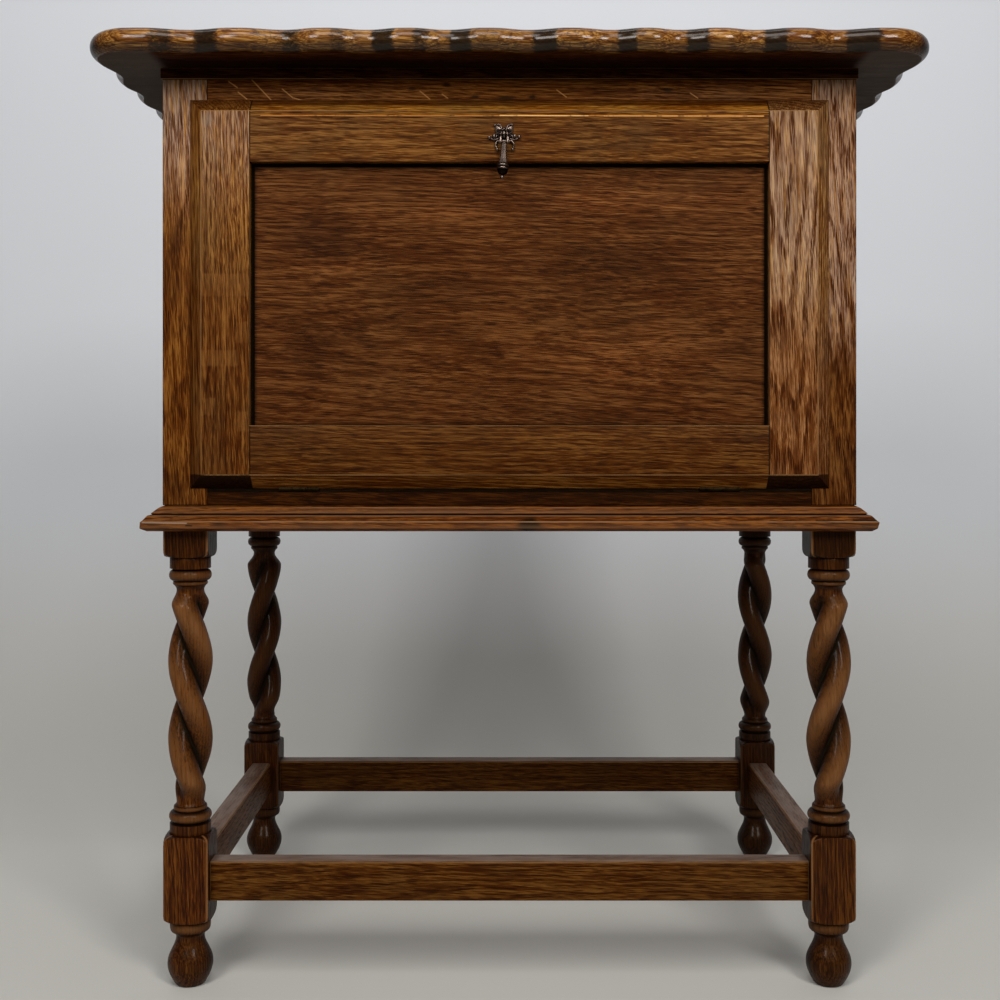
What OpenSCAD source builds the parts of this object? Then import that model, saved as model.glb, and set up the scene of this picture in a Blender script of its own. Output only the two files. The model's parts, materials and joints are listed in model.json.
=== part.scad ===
// Oak side cabinet: a framed carcass with a fall front, on a stand of four barley-twist legs.
// Origin on the floor under the middle of the top board. The front faces -Y.

/* [Carcass] */
// Width of the carcass across its front
carcass_w = 660; // [560:1:760]
// Depth of the carcass from its front face to its back
carcass_d = 436; // [360:1:520]
// Height of the carcass between the base board and the under-top board
carcass_h = 405; // [340:1:480]
// Width of the two front stiles
stile_w = 42.5; // [38:0.5:52]
// Thickness of the face frame
face_t = 22; // [18:0.5:26]
// Height of the top rail that shows above the flap
top_rail_show = 20; // [14:0.5:30]
// Height of the bottom rail that shows under the flap
bottom_rail_show = 16; // [15.5:0.5:24]
// Thickness of the side frames
side_t = 20; // [18:0.5:26]
// Width of the front stile of a side frame
side_front_w = 36; // [30:1:50]
// Width of the back stile of a side frame
side_back_w = 58; // [44:1:70]
// Height of the two rails of a side frame
side_rail_h = 60; // [45:1:80]
// Thickness of the side panels
side_panel_t = 6; // [5:0.5:7]
// How deep the side panels sit behind the side frames' face
side_panel_inset = 8; // [4:0.5:10]
// Thickness of the back panel
back_t = 6; // [4:0.5:9]
// Width of the rebate that holds the back panel
back_rebate = 8; // [6:0.5:12]
// Thickness of the under-top board
under_top_t = 10.5; // [8:0.5:16]
// How far the under-top board stands proud of the carcass
under_top_over = 1.5; // [0:0.25:4]

/* [Top board] */
// Thickness of the top board
top_t = 23; // [18:0.5:30]
// How far the top board overhangs the front
top_front_over = 62; // [45:1:80]
// How far the top board overhangs each side
top_side_over = 62; // [45:1:80]
// How far the top board overhangs the back
top_back_over = 10; // [2:1:20]
// Number of scallops along the front between the two corner lobes
front_lobes = 8; // [6:2:12]
// Number of scallops along each side
side_lobes = 5; // [3:1:8]
// Depth of a scallop from crest to valley
scallop_depth = 6.8; // [3:0.2:9]
// How sharply the valleys are cut between the broad crests
valley_power = 1.4; // [1:0.1:2]
// Length of a corner lobe from the corner to its first valley
corner_lobe = 95; // [80:1:110]
// Radius of the front corners
corner_r = 45; // [30:1:60]
// Length of the last lobe before the back edge
rear_lobe = 38; // [30:1:50]
// Radius of the back corners
rear_r = 16; // [14:0.5:22]
// How far the rounded edge runs in over the top and the underside
nose_in = 10.5; // [6:0.5:10.5]

/* [Base board] */
// Thickness of the moulded base board
base_t = 24; // [20:0.5:30]
// How far the base board stands out past the carcass
base_over = 17.3; // [14:0.1:24]
// Width of the flat land around the foot of the carcass
base_land = 5; // [2:0.5:6]
// Drop of the rounded upper member of the moulding
base_ovolo_h = 6.5; // [4:0.5:8]
// How far the upper member stands out past the carcass
base_ovolo_out = 11.7; // [8:0.1:12.5]
// Height of the small upright fillet under the upper member
base_fillet_h = 3.5; // [1:0.5:5]
// Height of the hollow between the fillet and the lower edge
base_cove_h = 4; // [2:0.5:5]
// Radius of the eased lower edge
base_ease = 2.5; // [1:0.25:4]

/* [Legs] */
// Height of the stand from the floor to the base board
stand_h = 438.5; // [380:0.5:520]
// Side of the square leg blocks
leg_sq = 43; // [36:0.5:52]
// Height of the upper leg block
top_block_h = 26.5; // [18:0.5:40]
// Height of the turned stretch between the upper block and the twist
high_turning_h = 35; // [28:0.5:50]
// Height of the turned stretch between the twist and the lower block
low_turning_h = 30; // [24:0.5:45]
// Height of the lower leg block
low_block_h = 84; // [70:1:110]
// Height of the turned foot under the lower block
foot_h = 63; // [48:1:80]
// Height of the rounded shoulders of the blocks
shoulder_h = 7.5; // [4:0.5:10]
// Length of one full turn of a strand
twist_lead = 151; // [120:1:200]
// Radius over the crest of a strand
strand_r = 21; // [18:0.25:22]
// Radius at the bottom of the groove between the strands
groove_r = 9; // [7:0.25:12]
// Radius of the neck above the twist
high_neck_r = 12.2; // [10:0.1:14]
// Radius of the neck under the twist
low_neck_r = 13.3; // [11:0.1:15]
// Length over which the strands fade into the necks
twist_fade = 24; // [15:1:40]
// How far the collars are turned in from the side of the blocks
collar_cut = 1.3; // [0.5:0.1:3]
// Height of the collars next to the twist
collar_h = 8.5; // [5:0.5:10]
// How far the beads are turned in from the side of the blocks
bead_cut = 0.9; // [0.3:0.1:3]
// Height of the bead above the twist
high_bead_h = 10; // [6:0.5:12]
// Height of the bead under the twist
low_bead_h = 8; // [5:0.5:10]
// How far the fillets and quirks are turned in from the side of the blocks
fillet_cut = 4.3; // [3:0.1:6]
// Height of the fillet between a bead and the neck
fillet_h = 2.5; // [1:0.5:4]
// Height of the quirk between a collar and a bead
quirk_h = 2; // [1:0.25:3]
// Radius of the foot at its widest
foot_r = 22.1; // [18:0.1:26]
// Height of the foot's widest place above the floor
foot_wide_z = 17; // [12:0.5:22]
// Radius of the flat sole of the foot
foot_sole_r = 17; // [12:0.5:18]
// Radius of the foot's neck
foot_neck_r = 14; // [11:0.25:16]
// Height of the flare above the foot's neck
foot_flare_h = 8.5; // [5:0.5:12]
// Height of the collar on top of the foot
foot_collar_h = 6.5; // [4:0.5:10]
// Radius of the dowel on top of a leg
dowel_r = 10; // [7:0.5:12]
// Length of the dowel on top of a leg
dowel_l = 14; // [8:0.5:15]

/* [Stretchers] */
// Height of a stretcher
stretcher_h = 38; // [28:0.5:48]
// Thickness of a stretcher
stretcher_t = 22.5; // [16:0.5:28]
// How far the stretchers sit above the bottom of the lower block
stretcher_lift = 19.5; // [14:0.5:24]
// Length of the stretcher tenons
stretcher_tenon_l = 15; // [10:0.5:16]
// Thickness of the stretcher tenons
stretcher_tenon_t = 8; // [6:0.5:10]

/* [Fall front] */
// How far the flap laps over the face frame on every side
flap_lap = 16; // [12:0.5:20]
// Thickness of the part of the flap that stands in front of the face frame
flap_proud_t = 13.5; // [10:0.5:14.5]
// Thickness of the part of the flap that sits inside the opening
flap_lip_t = 8.5; // [8:0.5:12]
// Width of the bevel around the flap
flap_bevel = 13; // [6:0.5:13]
// Gap between the shut flap and the face frame
flap_gap = 0.5; // [0.3:0.1:1]
// Gap around the flap's lip inside the opening
lip_gap = 1; // [0.6:0.1:2]
// Width of the flap's stiles
flap_stile_w = 58.5; // [48:0.5:70]
// Width of the flap's top rail
flap_top_rail_w = 60.8; // [50:0.2:75]
// Width of the flap's bottom rail
flap_bottom_rail_w = 59.8; // [50:0.2:75]
// How deep the panel sits behind the flap's face
flap_panel_inset = 10; // [8:0.5:12]
// Thickness of the flap's panel
flap_panel_t = 6; // [4:0.5:6]

/* [Joinery] */
// Thickness of the frame tenons
tenon_t = 8; // [6:0.5:9]
// Length of the frame tenons
tenon_l = 22; // [14:0.5:25]
// Shoulder between a rail's edge and its tenon
tenon_shoulder = 10; // [9.5:0.5:11]
// Depth of the panel grooves
groove_d = 8; // [6:0.5:9]
// Room left at the bottom of a mortise or groove
glue_room = 1; // [0.5:0.25:1.5]
// Side of the three-cornered glue blocks
glue_block_s = 20; // [12:1:28]
// Length of the glue blocks
glue_block_l = 50; // [30:1:80]

/* [Hinges] */
// Distance of each hinge from the end of the flap
hinge_in = 84.5; // [72:0.5:130]
// Length of a hinge
hinge_l = 38; // [34:1:50]
// Radius of the hinge knuckles
knuckle_r = 2.5; // [2.2:0.1:2.8]
// Radius of the hinge pins
hinge_pin_r = 1.2; // [0.8:0.1:1.5]
// Thickness of the hinge leaves
leaf_t = 1; // [0.8:0.1:1.2]
// Height of the hinge leaves above the pin
leaf_h = 14.5; // [12:0.5:15]
// How far the hinge pins sit below the flap's lower edge
hinge_drop = 0.4; // [0.3:0.1:0.8]

/* [Stays] */
// Radius of the quadrant stays about the hinge pins
stay_r = 90; // [75:1:110]
// Width of a stay
stay_w = 8; // [6:0.5:10]
// Thickness of a stay
stay_t = 3; // [2:0.25:4]
// Distance of a stay from the edge of the opening
stay_inset = 7.5; // [6:0.5:12]
// Thickness of the keepers that the stays slide through
keeper_t = 6; // [4:0.5:8]
// Height of the keepers
keeper_h = 26; // [24:1:34]
// Length of the stays' foot plates
foot_plate_h = 34; // [28:1:44]
// Width of the stays' foot plates
foot_plate_w = 22; // [18:1:30]
// Thickness of the stays' foot plates
foot_plate_t = 2; // [1.5:0.25:3]
// How far the flap opens, in degrees
open_angle = 90; // [80:1:90]

/* [Catch] */
// Distance of the ball catch from the middle of the flap
catch_x = 40; // [30:1:120]
// Outer radius of the catch's case
catch_case_r = 3.2; // [3:0.1:3.5]
// Length of the catch's case
catch_case_l = 14; // [11:0.5:18]
// Radius of the catch's ball
catch_ball_r = 2.2; // [1.9:0.1:2.4]
// How far the ball stands out of the flap's edge
catch_reach = 1.5; // [1.2:0.1:1.6]
// Thickness of the strike plate
strike_t = 1; // [0.8:0.1:1.5]
// Length of the strike plate
strike_l = 26; // [22:1:34]

/* [Drop pull] */
// Place of the pull to the right of the middle of the flap
pull_x = -5; // [-20:1:20]
// Height of the pull's boss under the upper edge of the flap
pull_down = 38.5; // [32:0.5:44]
// Reach of the leaves of the pull's plate
leaf_reach = 15.6; // [12:0.2:18]
// Width of one leaf of the pull's plate
leaf_w = 8.6; // [6:0.2:10]
// Thickness of the pull's plate
pull_plate_t = 1.6; // [1:0.1:2.4]
// Radius of the domed boss
boss_r = 5.4; // [4.8:0.1:6]
// Radius of the pull's knuckles
pull_knuckle_r = 2.2; // [1.8:0.1:2.4]
// Distance of the pull's pin in front of the plate
pull_pin_out = 4.4; // [4.2:0.1:5.2]
// Distance of the pull's pin under the middle of the boss
pull_pin_down = 5; // [4.6:0.1:5.4]
// Radius of the pull's pin
pull_pin_r = 0.9; // [0.7:0.1:1]
// Length of the flared stem of the drop
drop_stem_l = 20.5; // [16:0.5:26]
// Radius of the drop's stem at its top
drop_stem_r = 2.6; // [2:0.1:2.8]
// Radius of the drop's rim
drop_rim_r = 5.5; // [4.5:0.1:5.5]
// Radius of the small ball at the tip of the drop
drop_tip_r = 2.1; // [1.5:0.1:2.5]

/* [Hidden] */
$fn = 48;

oak = "#7a4a26";
oak_dark = "#5b3519";
brass = "#a8823c";
bronze = "#5f4a34";
steel = "#8d8d8d";

// A hair of extra length for cuts that must pass right through a face
eps = 0.5;
// Radial room of a pin in its knuckle, and of a screw or rod in its hole
pin_play = 0.05;
// Room between parts that move past each other
run_play = 0.3;

// Places along the depth, front to back
top_d = top_front_over + carcass_d + top_back_over;
top_w = carcass_w + 2 * top_side_over;
y_front = -top_d / 2 + top_front_over;
y_back = y_front + carcass_d;
y_face_back = y_front + face_t;
y_side_front = y_face_back + side_front_w;
y_side_back = y_back - side_back_w;

// Heights, from the floor up
z_base = stand_h;
z_carcass = z_base + base_t;
z_under_top = z_carcass + carcass_h;
z_top = z_under_top + under_top_t;

// Places across the width
x_out = carcass_w / 2;
x_in = x_out - side_t;
opening_x = x_out - stile_w;
opening_z0 = z_carcass + bottom_rail_show + flap_lap;
opening_z1 = z_under_top - top_rail_show - flap_lap;

// Flap
flap_x = opening_x + flap_lap;
flap_z0 = opening_z0 - flap_lap;
flap_z1 = opening_z1 + flap_lap;
lip_x = opening_x - lip_gap;
lip_z0 = opening_z0 + lip_gap;
lip_z1 = opening_z1 - lip_gap;
y_lap = y_front - flap_gap;
y_flap_front = y_lap - flap_proud_t;
y_lip_back = y_lap + flap_lip_t;
flap_stile_x = flap_x - flap_stile_w;
panel_z0 = flap_z0 + flap_bottom_rail_w;
panel_z1 = flap_z1 - flap_top_rail_w;
y_panel = y_flap_front + flap_panel_inset;
y_flap_mid = (y_flap_front + y_lip_back) / 2;
flap_tenon_margin = 2;

// The line that the flap turns about
y_pivot = y_front;
z_pivot = flap_z0 - hinge_drop;

// Legs
leg_x = x_out - leg_sq / 2;
leg_y_front = y_front + leg_sq / 2;
leg_y_back = y_back - leg_sq / 2;
low_block_z1 = foot_h + low_block_h;
twist_z0 = low_block_z1 + low_turning_h;
high_turning_z1 = stand_h - top_block_h;
twist_z1 = high_turning_z1 - high_turning_h;
stretcher_z0 = foot_h + stretcher_lift;
stretcher_z1 = stretcher_z0 + stretcher_h;

// Height of the middle narrow point of each twist, from the floor, as cut by hand on each leg
waist_front_left = 281.8;
waist_front_right = 277.5;
waist_back_left = 251;
waist_back_right = 284.5;

// Mesh steps of the two sculpted shapes
twist_sides = 20;
twist_rings = 40;
lobe_steps = 8;
half_lobe_steps = 5;
corner_steps = 8;
rear_steps = 3;
nose_steps = 6;

// Screws: shank radius, head radius and length of each kind
wood_screw_r = 2;
wood_screw_head_r = 4;
small_screw_r = 1.1;
small_screw_head_r = 2.1;
top_screw_bite = 12;
base_screw_bite = 16;
back_screw_bite = 10;
top_screw_l = under_top_t + top_screw_bite;
base_screw_l = base_t + base_screw_bite;
back_screw_l = back_t + back_screw_bite;
hinge_screw_l = 7;
fitting_screw_l = 12;

// Points along an arc, from one angle to another
function arc(cx, cy, rx, ry, a0, a1, n) =
    [for (i = [0:n]) let (a = a0 + (a1 - a0) * i / n) [cx + rx * cos(a), cy + ry * sin(a)]];

function mix(a, b, t) = a + (b - a) * t;
function clamp01(t) = min(1, max(0, t));
function ease(t) = let (c = clamp01(t)) c * c * (3 - 2 * c);
function reversed(list) = [for (i = [len(list) - 1:-1:0]) list[i]];

// A block between two opposite corners
module block(x0, x1, y0, y1, z0, z1) {
    translate([x0, y0, z0]) cube([x1 - x0, y1 - y0, z1 - z0]);
}

// The same shape on the left (-1) or the right (1)
module on_side(side) {
    if (side < 0) mirror([1, 0, 0]) children();
    else children();
}

// Extrudes an outline drawn in Y and Z along X
module along_x(x0, x1) {
    translate([x0, 0, 0]) rotate([90, 0, 90]) linear_extrude(x1 - x0) children();
}

// Extrudes an outline drawn in X and Z along Y
module along_y(y0, y1) {
    translate([0, y1, 0]) rotate([90, 0, 0]) linear_extrude(y1 - y0) children();
}

module rod_x(x0, x1, y, z, r) {
    translate([x0, y, z]) rotate([0, 90, 0]) cylinder(h = x1 - x0, r = r);
}

module rod_y(y0, y1, x, z, r) {
    translate([x, y0, z]) rotate([-90, 0, 0]) cylinder(h = y1 - y0, r = r);
}

// A countersunk screw whose head lies flush at z = 0 and whose point is up
module screw(l, r, head_r) {
    slot_w = 0.4 * r;
    difference() {
        union() {
            cylinder(h = head_r - r, r1 = head_r, r2 = r);
            translate([0, 0, head_r - r]) cylinder(h = l - head_r, r = r);
            translate([0, 0, l - r]) cylinder(h = r, r1 = r, r2 = r / 4);
        }
        translate([-head_r, -slot_w / 2, -eps]) cube([2 * head_r, slot_w, eps + (head_r - r) / 2]);
    }
}

// The hole that the screw sits in
module screw_hole(l, r, head_r) {
    translate([0, 0, -eps]) cylinder(h = eps, r = head_r + pin_play);
    cylinder(h = head_r - r, r1 = head_r + pin_play, r2 = r + pin_play);
    cylinder(h = l + pin_play, r = r + pin_play);
}

// Top board

function valley(u) = scallop_depth * pow((1 + cos(360 * u)) / 2, valley_power);
front_valley_x = top_w / 2 - corner_lobe;
front_pitch = 2 * front_valley_x / front_lobes;
side_pitch = (top_d - corner_lobe - rear_lobe) / side_lobes;
corner_run = corner_lobe - corner_r;
rear_run = rear_lobe - rear_r;

// Right half of the outline, from the middle of the front to the back corner
front_scallops = [for (i = [0:lobe_steps * front_lobes / 2])
    let (u = i / lobe_steps) [u * front_pitch, -top_d / 2 + valley(u + front_lobes / 2)]];
front_corner_run = [for (i = [1:half_lobe_steps])
    let (v = i / half_lobe_steps) [front_valley_x + v * corner_run, -top_d / 2 + valley(v / 2)]];
front_corner = arc(top_w / 2 - corner_r, -top_d / 2 + corner_r, corner_r, corner_r, -90, 0, corner_steps);
side_corner_run = [for (i = [1:half_lobe_steps])
    let (v = i / half_lobe_steps)
    [top_w / 2 - valley((1 - v) / 2), -top_d / 2 + corner_r + v * corner_run]];
side_scallops = [for (i = [1:lobe_steps * side_lobes])
    let (u = i / lobe_steps) [top_w / 2 - valley(u), -top_d / 2 + corner_lobe + u * side_pitch]];
rear_lobe_run = [for (i = [1:half_lobe_steps])
    let (v = i / half_lobe_steps) [top_w / 2 - valley(v / 2), top_d / 2 - rear_lobe + v * rear_run]];
rear_corner = arc(top_w / 2 - rear_r, top_d / 2 - rear_r, rear_r, rear_r, 0, 90, rear_steps);
right_outline = concat(
    front_scallops, front_corner_run, [for (i = [1:corner_steps]) front_corner[i]], side_corner_run,
    side_scallops, rear_lobe_run, [for (i = [1:rear_steps]) rear_corner[i]]
);
top_outline = concat(
    right_outline,
    [for (i = [len(right_outline) - 1:-1:1]) [-right_outline[i].x, right_outline[i].y]]
);

// One point of the outline, moved inwards square to the edge
function inset_point(i, by) =
    let (
        n = len(top_outline),
        along = top_outline[(i + 1) % n] - top_outline[(i + n - 1) % n]
    )
    top_outline[i] - by * [along.y, -along.x] / norm(along);

// Joins a stack of closed rings, lowest first, into one closed shape
module ring_stack(rings) {
    n = len(rings[0]);
    last = len(rings) - 1;
    points = [for (ring = rings) each ring];
    walls = [for (k = [0:last - 1], j = [0:n - 1])
        let (a = k * n + j, b = k * n + (j + 1) % n)
        each [[a, a + n, b + n], [a, b + n, b]]];
    floor_face = [[for (j = [0:n - 1]) j]];
    roof_face = [[for (j = [n - 1:-1:0]) last * n + j]];
    polyhedron(points, concat(walls, floor_face, roof_face), convexity = 8);
}

top_screw_out = 0.75 * x_out;
top_screw_front_in = 30;
top_screw_back_in = 50;
top_screw_xs = [-top_screw_out, 0, top_screw_out];
top_screw_ys = [y_face_back + top_screw_front_in, y_back - top_screw_back_in];

module at_top_screws() {
    for (x = top_screw_xs, y = top_screw_ys) translate([x, y, z_under_top]) children();
}

// One step of the rounded edge: how far it runs in, and its height above the underside
function nose(k) =
    let (a = -90 + 180 * k / nose_steps)
    [nose_in * (1 - cos(a)), top_t / 2 * (1 + sin(a))];

// The edge's first and last steps run a little past the flat faces, which then trim them
nose_past = 0.25;
nose_rings = concat(
    [mix(nose(0), nose(1), -nose_past)],
    [for (k = [1:nose_steps - 1]) nose(k)],
    [mix(nose(nose_steps), nose(nose_steps - 1), -nose_past)]
);

module top_board() color(oak) {
    intersection() {
        difference() {
            block(-top_w, top_w, -top_d, top_d, z_top, z_top + top_t);
            at_top_screws() screw_hole(top_screw_l, wood_screw_r, wood_screw_head_r);
        }
        ring_stack([for (ring = nose_rings)
            [for (i = [0:len(top_outline) - 1])
                let (p = inset_point(i, ring[0])) [p.x, p.y, z_top + ring[1]]]]);
    }
}

module under_top() color(oak_dark) {
    difference() {
        block(-x_out - under_top_over, x_out + under_top_over, y_front - under_top_over, y_back,
            z_under_top, z_top);
        at_top_screws() screw_hole(top_screw_l, wood_screw_r, wood_screw_head_r);
    }
}

module top_screws() color(steel) {
    at_top_screws() screw(top_screw_l, wood_screw_r, wood_screw_head_r);
}

// Face frame

y_face_mid = y_front + face_t / 2;

// Tenons on both ends of a face rail, or the mortises that take them
module face_tenons(z0, z1, extra) {
    for (side = [-1, 1]) on_side(side)
        block(opening_x, opening_x + tenon_l + extra, y_face_mid - tenon_t / 2, y_face_mid + tenon_t / 2,
            z0 + tenon_shoulder, z1 - tenon_shoulder);
}

module face_stile(side) color(oak) {
    difference() {
        on_side(side) block(opening_x, x_out, y_front, y_face_back, z_carcass, z_under_top);
        face_tenons(z_carcass, opening_z0, glue_room);
        face_tenons(opening_z1, z_under_top, glue_room);
        on_side(side) at_keeper_screws() screw_hole(fitting_screw_l + keeper_w, small_screw_r,
            small_screw_head_r);
    }
}

module face_rail_top() color(oak) {
    difference() {
        union() {
            block(-opening_x, opening_x, y_front, y_face_back, opening_z1, z_under_top);
            face_tenons(opening_z1, z_under_top, 0);
        }
        strike_blank();
        translate([catch_x, y_catch, opening_z1]) cylinder(h = 2 * strike_t, r = strike_hole_r);
        at_strike_screws() screw_hole(fitting_screw_l, small_screw_r, small_screw_head_r);
    }
}

module face_rail_bottom() color(oak) {
    difference() {
        union() {
            block(-opening_x, opening_x, y_front, y_face_back, z_carcass, opening_z0);
            face_tenons(z_carcass, opening_z0, 0);
        }
        for (side = [-1, 1]) on_side(side) {
            frame_leaf_plate(eps);
            knuckle_room();
            at_frame_leaf_screws() screw_hole(fitting_screw_l, small_screw_r, small_screw_head_r);
        }
    }
}

// Side frames and back, drawn for the right side

side_panel_x1 = x_out - side_panel_inset;
side_panel_x0 = side_panel_x1 - side_panel_t;
side_mid_x = x_out - side_t / 2;
side_panel_z0 = z_carcass + side_rail_h;
side_panel_z1 = z_under_top - side_rail_h;

// The side panel, or the grooves that it sits in when it is grown by the glue room
module side_panel_blank(extra) {
    run_in = groove_d - glue_room + extra;
    block(side_panel_x0, side_panel_x1, y_side_front - run_in, y_side_back + run_in,
        side_panel_z0 - run_in, side_panel_z1 + run_in);
}

// Tenons of one side rail, or the mortises that take them
module side_tenons(z0, z1, extra) {
    block(side_mid_x - tenon_t / 2, side_mid_x + tenon_t / 2, y_side_front - tenon_l - extra,
        y_side_back + tenon_l + extra, z0 + tenon_shoulder, z1 - tenon_shoulder);
}

module side_joint_cuts() {
    side_panel_blank(glue_room);
    side_tenons(z_carcass, side_panel_z0, glue_room);
    side_tenons(side_panel_z1, z_under_top, glue_room);
}

module side_stile_front(side) color(oak) on_side(side) {
    difference() {
        block(x_in, x_out, y_face_back, y_side_front, z_carcass, z_under_top);
        side_joint_cuts();
    }
}

module side_stile_back(side) color(oak) on_side(side) {
    difference() {
        block(x_in, x_out, y_side_back, y_back, z_carcass, z_under_top);
        side_joint_cuts();
        block(x_in - eps, x_in + back_rebate, y_back - back_t, y_back + eps, z_carcass - eps,
            z_under_top + eps);
        at_back_screws() screw_hole(back_screw_l, small_screw_r, small_screw_head_r);
    }
}

module side_rail(side, z0, z1) color(oak) on_side(side) {
    difference() {
        union() {
            block(x_in, x_out, y_side_front, y_side_back, z0, z1);
            side_tenons(z0, z1, 0);
        }
        side_panel_blank(glue_room);
        at_base_screws() screw_hole(base_screw_l, wood_screw_r, wood_screw_head_r);
    }
}

module side_panel(side) color(oak_dark) on_side(side) side_panel_blank(0);

back_screw_count = 4;
back_screw_pitch = carcass_h / back_screw_count;

module at_back_screws() {
    for (i = [0:back_screw_count - 1])
        translate([x_in + back_rebate / 2, y_back, z_carcass + (i + 0.5) * back_screw_pitch])
            rotate([90, 0, 0]) children();
}

module back_panel() color(oak_dark) {
    difference() {
        block(-x_in - back_rebate, x_in + back_rebate, y_back - back_t, y_back, z_carcass, z_under_top);
        for (side = [-1, 1]) on_side(side) at_back_screws() screw_hole(back_screw_l, small_screw_r,
            small_screw_head_r);
    }
}

module back_screws() color(steel) {
    for (side = [-1, 1]) on_side(side) at_back_screws() screw(back_screw_l, small_screw_r,
        small_screw_head_r);
}

// Three-cornered blocks in the corners between the sides and the boards above and below them
module glue_blocks() color(oak_dark) {
    corner = [[x_in, 0], [x_in - glue_block_s, 0], [x_in, glue_block_s]];
    y_step = (y_side_back - y_side_front) / 2;
    for (side = [-1, 1], i = [0, 1]) on_side(side) {
        y0 = y_side_front + (i + 0.5) * y_step - glue_block_l / 2;
        along_y(y0, y0 + glue_block_l) {
            translate([0, z_carcass]) polygon(corner);
            translate([0, z_under_top]) mirror([0, 1]) polygon(corner);
        }
    }
}

// Base board

// Half of the base board's section: how far it stands out, and the height, from the top down
ovolo_from = 75;
cove_from = 195;
moulding_steps = 5;
function base_edge() = concat(
    [[base_land, base_t]],
    arc(base_land, base_t - base_ovolo_h, base_ovolo_out - base_land, base_ovolo_h, ovolo_from, 0,
        moulding_steps),
    [[base_ovolo_out, base_t - base_ovolo_h - base_fillet_h]],
    arc(base_over, base_t - base_ovolo_h - base_fillet_h, base_over - base_ovolo_out, base_cove_h,
        cove_from, 270, moulding_steps),
    arc(base_over - base_ease, base_ease, base_ease, base_ease, 0, -90, moulding_steps)
);

module at_base_screws() {
    for (i = [-1, 0, 1])
        translate([side_mid_x, (y_side_front + y_side_back) / 2 + i * (y_side_back - y_side_front) / 3,
            z_base]) children();
}

// Slot in the base board for the tails of the shut stays
tail_room = 2;
module stay_pocket() {
    reach = stay_r + stay_lug;
    low = reach * sin(stay_tail_a - 90);
    block(stay_x - stay_t / 2 - tail_room, stay_x + stay_t / 2 + tail_room,
        y_pivot + (stay_r - stay_lug) * sin(stay_tail_a) - tail_room, y_pivot + reach + tail_room,
        z_pivot - low - tail_room, z_carcass + eps);
}

module base_board() color(oak) {
    edge = base_edge();
    side_section = concat(
        [for (p = reversed(edge)) [x_out + p.x, z_base + p.y]],
        [for (p = edge) [-x_out - p.x, z_base + p.y]]
    );
    front_section = concat(
        [for (p = edge) [y_front - p.x, z_base + p.y]],
        [[y_back, z_base], [y_back, z_carcass]]
    );
    difference() {
        intersection() {
            along_y(y_front - base_over, y_back) polygon(side_section);
            along_x(-x_out - base_over, x_out + base_over) polygon(front_section);
        }
        for (x = [-leg_x, leg_x], y = [leg_y_front, leg_y_back]) translate([x, y, z_base - eps])
            cylinder(h = dowel_l + glue_room + eps, r = dowel_r + pin_play);
        for (side = [-1, 1]) on_side(side) {
            at_base_screws() screw_hole(base_screw_l, wood_screw_r, wood_screw_head_r);
            stay_pocket();
        }
    }
}

module base_screws() color(steel) {
    for (side = [-1, 1]) on_side(side) at_base_screws() screw(base_screw_l, wood_screw_r,
        wood_screw_head_r);
}

// Legs

// Half section of a bead that bulges from an inner to an outer radius
function bead(r_in, r_out, z0, z1) =
    arc(r_in, (z0 + z1) / 2, r_out - r_in, (z1 - z0) / 2, -90, 90, 6);

// Revolves a half section given as points of radius and height
module turned(section) {
    rotate_extrude() polygon(concat(
        [[0, section[0].y]], section, [[0, section[len(section) - 1].y]]
    ));
}

collar_r = leg_sq / 2 - collar_cut;
bead_r = leg_sq / 2 - bead_cut;
fillet_r = leg_sq / 2 - fillet_cut;
collar_ease = 1.5;

// From the block down: collar, quirk, bead, fillet, and a hollow that runs into the twist's neck
module high_turning() {
    z_collar = high_turning_z1 - collar_h;
    z_bead = z_collar - quirk_h - high_bead_h;
    z_fillet = z_bead - fillet_h;
    turned(concat(
        [for (i = [0:5]) let (t = i / 5)
            [mix(high_neck_r, fillet_r, 1 - cos(90 * t)), mix(twist_z1, z_fillet, t)]],
        [[fillet_r, z_bead]],
        bead(fillet_r, bead_r, z_bead, z_bead + high_bead_h),
        [[fillet_r, z_collar]],
        bead(collar_r - collar_ease, collar_r, z_collar, high_turning_z1),
        [[collar_r - collar_ease, high_turning_z1 + eps]]
    ));
}

// From the block up: collar, quirk, bead, fillet, and a curve that runs into the twist's neck
module low_turning() {
    z_collar = low_block_z1 + collar_h;
    z_bead = z_collar + quirk_h;
    z_fillet = z_bead + low_bead_h + fillet_h;
    turned(concat(
        [[collar_r - collar_ease, low_block_z1 - eps]],
        bead(collar_r - collar_ease, collar_r, low_block_z1, z_collar),
        [[fillet_r, z_collar]],
        bead(fillet_r, bead_r, z_bead, z_bead + low_bead_h),
        [for (i = [0:5]) let (t = i / 5)
            [mix(fillet_r, low_neck_r, ease(t)), mix(z_fillet, twist_z0, t)]]
    ));
}

// How full the foot swells between its widest place and its neck
foot_fullness = 0.8;
module foot() {
    z_collar = foot_h - foot_collar_h;
    z_neck = z_collar - foot_flare_h;
    turned(concat(
        [for (i = [0:4]) let (t = i / 4)
            [foot_sole_r + (foot_r - foot_sole_r) * sin(90 * t), foot_wide_z * t]],
        [for (i = [1:6]) let (t = i / 6)
            [mix(foot_r, foot_neck_r, 1 - pow((1 + cos(180 * t)) / 2, foot_fullness)),
            mix(foot_wide_z, z_neck, t)]],
        [for (i = [1:3]) let (t = i / 3)
            [mix(foot_neck_r, collar_r - collar_ease, 1 - cos(90 * t)), mix(z_neck, z_collar, t)]],
        bead(collar_r - collar_ease, collar_r, z_collar, foot_h),
        [[collar_r - collar_ease, foot_h + eps]]
    ));
}

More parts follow.
